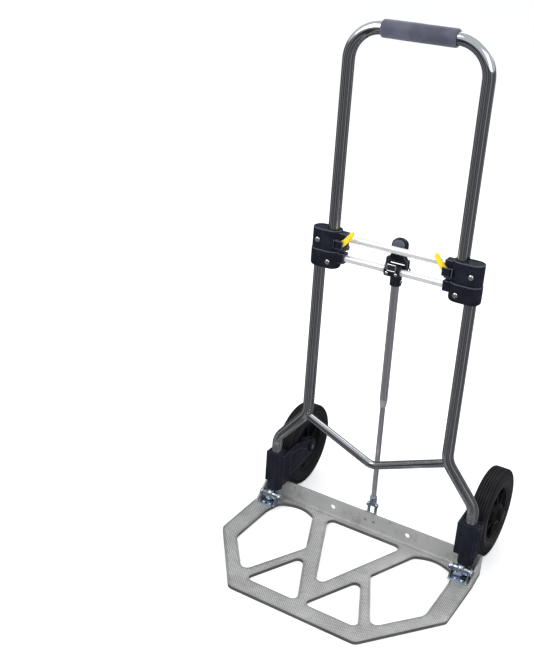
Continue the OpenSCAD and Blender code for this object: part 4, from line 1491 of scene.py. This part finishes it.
@dataclass
class Latch:
    """The latch that straddles the head: cheeks, a bell-shaped web and a domed knob with a raised pad whose paler
    colour is a painted highlight.
    """

    cheek: float = 6.0
    half: float = 21.6
    deep: float = 5.6
    neck: float = 10.5
    knob_half: float = 15.0
    knob_z: float = 34.0
    knob_h: float = 21.0
    knob_deep: float = 15.0
    knob_out: float = 6.5
    slope: float = 0.28

    def build(self) -> None:
        """Builds the latch and its pad, which is painted paler as a painted highlight, in place of the drawn one."""
        pin = middle("latch_pin")
        low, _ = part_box("latch_lever")
        self.at = Vector((0, pin.y, pin.z))
        self.front = pin.y - self.knob_out * MM
        solid = Solid()
        for way in (-1, 1):
            xs = sorted((way * self.half * MM, way * (self.half - self.cheek) * MM))
            solid.box(
                Vector((xs[0], pin.y - self.deep * MM, low.z + 3 * MM)),
                Vector((xs[1], pin.y + self.deep * MM, pin.z + 18 * MM)),
            )
        self.web(solid)
        solid.round_edges(1.4 * MM, 3)
        for way in (-1, 1):
            start = Vector((way * (self.half - self.cheek) * MM, pin.y, pin.z))
            r, h = self.deep, self.cheek
            solid.lathe(start, X_AXIS * way, in_mm([(0, 0), (r, 0), (r, h - 1), (r - 1, h), (0, h)]), 40)
        self.knob(solid, self.knob_half, self.knob_h, 0.0, self.knob_deep)
        solid.piece("latch_body", FINISHES[Slot.COLLAR], "latch", ["latch_lever"], smooth=35)
        # painted highlight: the raised pad on the knob's front gets the paler moulding
        pad = Solid()
        self.knob(pad, self.knob_half - 3.4, self.knob_h - 3.6, -0.5, 2.0)
        pad.piece("latch_thumb_pad", PAINTED_HIGHLIGHT_PAD, "latch", smooth=35)

    def web(self, solid: Solid) -> None:
        """Adds the bell-shaped web that joins the cheeks, and the lip that closes it above the head."""
        rises = [13 + 22 * i / 8 for i in range(9)]
        halves = [self.neck + (self.half - self.neck) * (1 - i / 8) ** 1.7 for i in range(9)]
        right = [(w, z) for w, z in zip(halves, rises)]
        left = [(-w, z) for w, z in reversed(right)]
        outline = [self.at + Vector((a * MM, self.deep * MM, b * MM)) for a, b in right + left]
        solid.prism(outline, Vector((0, -2 * self.deep * MM, 0)))
        edge = self.half - self.cheek - 0.2
        solid.box(self.at + Vector((-edge, 2.6, 7.2)) * MM, self.at + Vector((edge, self.deep, 15)) * MM)

    def knob(self, solid: Solid, half: float, high: float, out: float, deep: float) -> None:
        """Adds a domed block whose front leans back.

        Args:
            solid: Where it is added.
            half: Half of its width.
            high: Its height.
            out: How far its front stands behind the knob's front.
            deep: Its thickness.
        """
        base = self.knob_z + (self.knob_h - high) * 0.55
        arch = [(half * math.cos(a), math.sin(a) ** 0.75 * high * 0.62) for a in turns(0.0, math.pi, 20)]
        shape = [(-half, 0), (half, 0)] + [(x, high * 0.38 + z) for x, z in arch]
        rows = []
        for share, inset in ((0.0, 2.0), (0.10, 0.6), (0.22, 0.0), (0.85, 0.0), (0.95, 0.8), (1.0, 2.4)):
            row = []
            for x, z in shape:
                back = out + self.slope * z * (1 - share) + share * deep
                rise = base + inset + z * (1 - 2 * inset / high)
                row.append(Vector((x * (1 - inset / half) * MM, self.front + back * MM, self.at.z + rise * MM)))
            rows.append(row)
        solid.loft(rows)


@dataclass
class WireClip:
    """The bent wire on the front of the head."""

    wire_d: float = 2.3

    def build(self) -> None:
        """Bends the wire round its four corners."""
        low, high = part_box("head_wire_clip")
        y = (low.y + high.y) / 2
        r = self.wire_d / 2 * MM
        x0, x1, z0, z1 = low.x + r, high.x - r, low.z + r, high.z - r
        spots = [(0, z0), (x0, z0), (x0, z1), (x1, z1), (x1, z0), (0, z0)]
        line = Bent([Vector((x, y, z)) for x, z in spots], 1.6 * MM, 4 * MM)
        tube(line, r, 0, Y_AXIS, 20).piece("wire_loop", FINISHES[Slot.RIVET], "handle", ["head_wire_clip"])


# ------------------------------------------------------------------------ studio


@dataclass
class Studio:
    """A pale floor, soft light, and dark flags and ground cards that only reflections see."""

    floor_half: float = 30.0
    floor_glow: float = 0.32
    sky_glow: float = 0.80
    flag_r: float = 0.80
    flag_h: float = 1.04

    def build(self) -> None:
        """Builds the floor, the light and the flags."""
        self.floor()
        self.sky()
        self.lamp("key_softbox", Vector((-1.8, -1.6, 2.6)), 2.2, 46)
        self.lamp("fill_softbox", Vector((2.2, -1.4, 2.2)), 2.0, 24)
        self.lamp("back_softbox", Vector((0.3, 2.4, 2.6)), 2.4, 34)
        self.flags()

    def floor(self) -> None:
        """Lays the pale floor."""
        mesh = bpy.data.meshes.new("studio_floor")
        h = self.floor_half
        mesh.from_pydata([(-h, -h, 0), (h, -h, 0), (h, h, 0), (-h, h, 0)], [], [(0, 1, 2, 3)])
        g = Graph("studio_floor")
        mesh.materials.append(
            g.surface(
                Base_Color=(0.88, 0.88, 0.88), Roughness=0.9, Specular_IOR_Level=0.1,
                Emission_Color=(1.0, 1.0, 1.0), Emission_Strength=self.floor_glow,
            )
        )
        self.show(bpy.data.objects.new("studio_floor", mesh)).visible_glossy = False

    def show(self, thing: bpy.types.Object) -> bpy.types.Object:
        """Adds an object to the stage."""
        bpy.context.scene.collection.objects.link(thing)
        return thing

    def sky(self) -> None:
        """Sets an even, slightly cool sky."""
        world = bpy.data.worlds.new("studio_sky")
        world.use_nodes = True
        background = world.node_tree.nodes["Background"]
        background.inputs["Color"].default_value = (0.95, 0.97, 1.0, 1.0)
        background.inputs["Strength"].default_value = self.sky_glow
        bpy.context.scene.world = world

    def lamp(self, name: str, place: Vector, size: float, power: float) -> None:
        """Hangs a softbox that looks at the middle of the truck.

        Args:
            name: Its name.
            place: Its place in metres.
            size: Its edge in metres.
            power: Its power in watts.
        """
        light = bpy.data.lights.new(name, "AREA")
        light.shape = "SQUARE"
        light.size = size
        light.energy = power
        lamp = bpy.data.objects.new(name, light)
        lamp.location = place
        lamp.rotation_mode = "QUATERNION"
        lamp.rotation_quaternion = (Vector((0, 0, 0.45)) - place).to_track_quat("-Z", "Y")
        bpy.context.scene.collection.objects.link(lamp)

    def flags(self) -> None:
        """Stands dark flags with ground cards round the truck, seen in reflections and nowhere else."""
        bands = [(0.12, 26), (0.04, 10), (0.30, 18), (0.06, 22), (0.22, 14), (0.03, 16), (0.16, 30), (0.05, 12)]
        start, number = 0.0, 0
        while start < 359:
            shade, width = bands[number % len(bands)]
            a0, a1 = math.radians(start), math.radians(min(360.0, start + width))
            r, h = self.flag_r, self.flag_h
            ends = [(r * math.cos(a), r * math.sin(a)) for a in (a0, a1)]
            far = [(4 * x, 4 * y, 0.001) for x, y in ends]
            corners = [(*ends[0], 0.002), (*ends[1], 0.002), (*ends[1], h), (*ends[0], h), (0, 0, 0.001), *far]
            mesh = bpy.data.meshes.new(f"flag_{number}")
            mesh.from_pydata(corners, [], [(0, 1, 2, 3), (4, 5, 6)])
            g = Graph(f"flag_{number}")
            glow = (shade, shade, shade * 1.05)
            mesh.materials.append(
                g.surface(Base_Color=(0.0, 0.0, 0.0), Emission_Color=glow, Emission_Strength=1.0, Roughness=1.0)
            )
            flag = self.show(bpy.data.objects.new(f"flag_{number}", mesh))
            flag.visible_camera = False
            flag.visible_diffuse = False
            flag.visible_shadow = False
            flag.visible_transmission = False
            start += width
            number += 1


@dataclass
class Viewpoint:
    """The camera: a standing look down at the truck from its front right, held a little askew."""

    place: tuple[float, float, float] = (0.6804, -1.5306, 1.2200)
    way: tuple[float, float, float] = (-0.4639, 0.7830, -0.4143)
    roll: float = 3.373
    lens: float = 55.42
    sensor: float = 36.0

    def build(self) -> None:
        """Places the camera and makes it the scene's."""
        data = bpy.data.cameras.new("viewpoint")
        data.lens = self.lens
        data.sensor_width = self.sensor
        data.clip_end = 100
        camera = bpy.data.objects.new("viewpoint", data)
        camera.location = self.place
        camera.rotation_mode = "QUATERNION"
        level = Vector(self.way).to_track_quat("-Z", "Y")
        camera.rotation_quaternion = level @ Quaternion((0, 0, 1), math.radians(self.roll))
        bpy.context.scene.collection.objects.link(camera)
        bpy.context.scene.camera = camera


def dress_rest(edges: dict[str, float]) -> None:
    """Refines or dresses every drawn node that no piece stands for yet.

    Args:
        edges: Width of the edge rounding in millimetres for the nodes that get one.
    """
    slots = {row["node"]: Slot(row["material_slot"]) for row in frame["record"]["subparts"]}
    for name, node in frame["nodes"].items():
        if node.hide_render:
            continue
        finish = BUSH if name == "centre_bush" else FINISHES[slots[name]]
        if name in edges:
            refined(name, finish, edges[name] * MM)
            continue
        node.data.materials.clear()
        node.data.materials.append(finish.material())
        LOG.info("%s: dressed in %s", name, finish.slot.value)


EDGES: dict[str, float] = {
    "left_wheel_bracket": 1.2, "right_wheel_bracket": 1.2,
    "left_leg_foot": 0.8, "right_leg_foot": 0.8,
    "left_hinge_bracket": 0.6, "right_hinge_bracket": 0.6,
    "clevis": 0.4, "centre_head": 1.0,
    "left_hinge_pin": 0.4, "right_hinge_pin": 0.4,
    "left_axle": 0.4, "right_axle": 0.4,
    "rod_end": 0.5,
}


def main() -> None:
    """Builds every sub-assembly in order, then the studio and the camera."""
    logging.basicConfig(level=logging.INFO, format="%(name)s: %(message)s")
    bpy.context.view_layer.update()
    bpy.context.scene.view_settings.view_transform = "Standard"
    Viewpoint().build()
    Studio().build()
    Tubes().build()
    Grip().build()
    for side in Side:
        for upper in (True, False):
            Collar(side, upper).build()
        Lever(side).build()
        Wheel(side).build()
    Studs("upper_collar_rivets", Y_AXIS, 5.0, 2.6).build(FINISHES[Slot.RIVET])
    Studs("lower_collar_rivets", Y_AXIS, 5.0, 2.6).build(FINISHES[Slot.RIVET])
    Plate().build()
    for side in Side:
        Hinge(side).build()
    Latch().build()
    WireClip().build()
    dress_rest(EDGES)


if __name__ == "__main__":
    main()
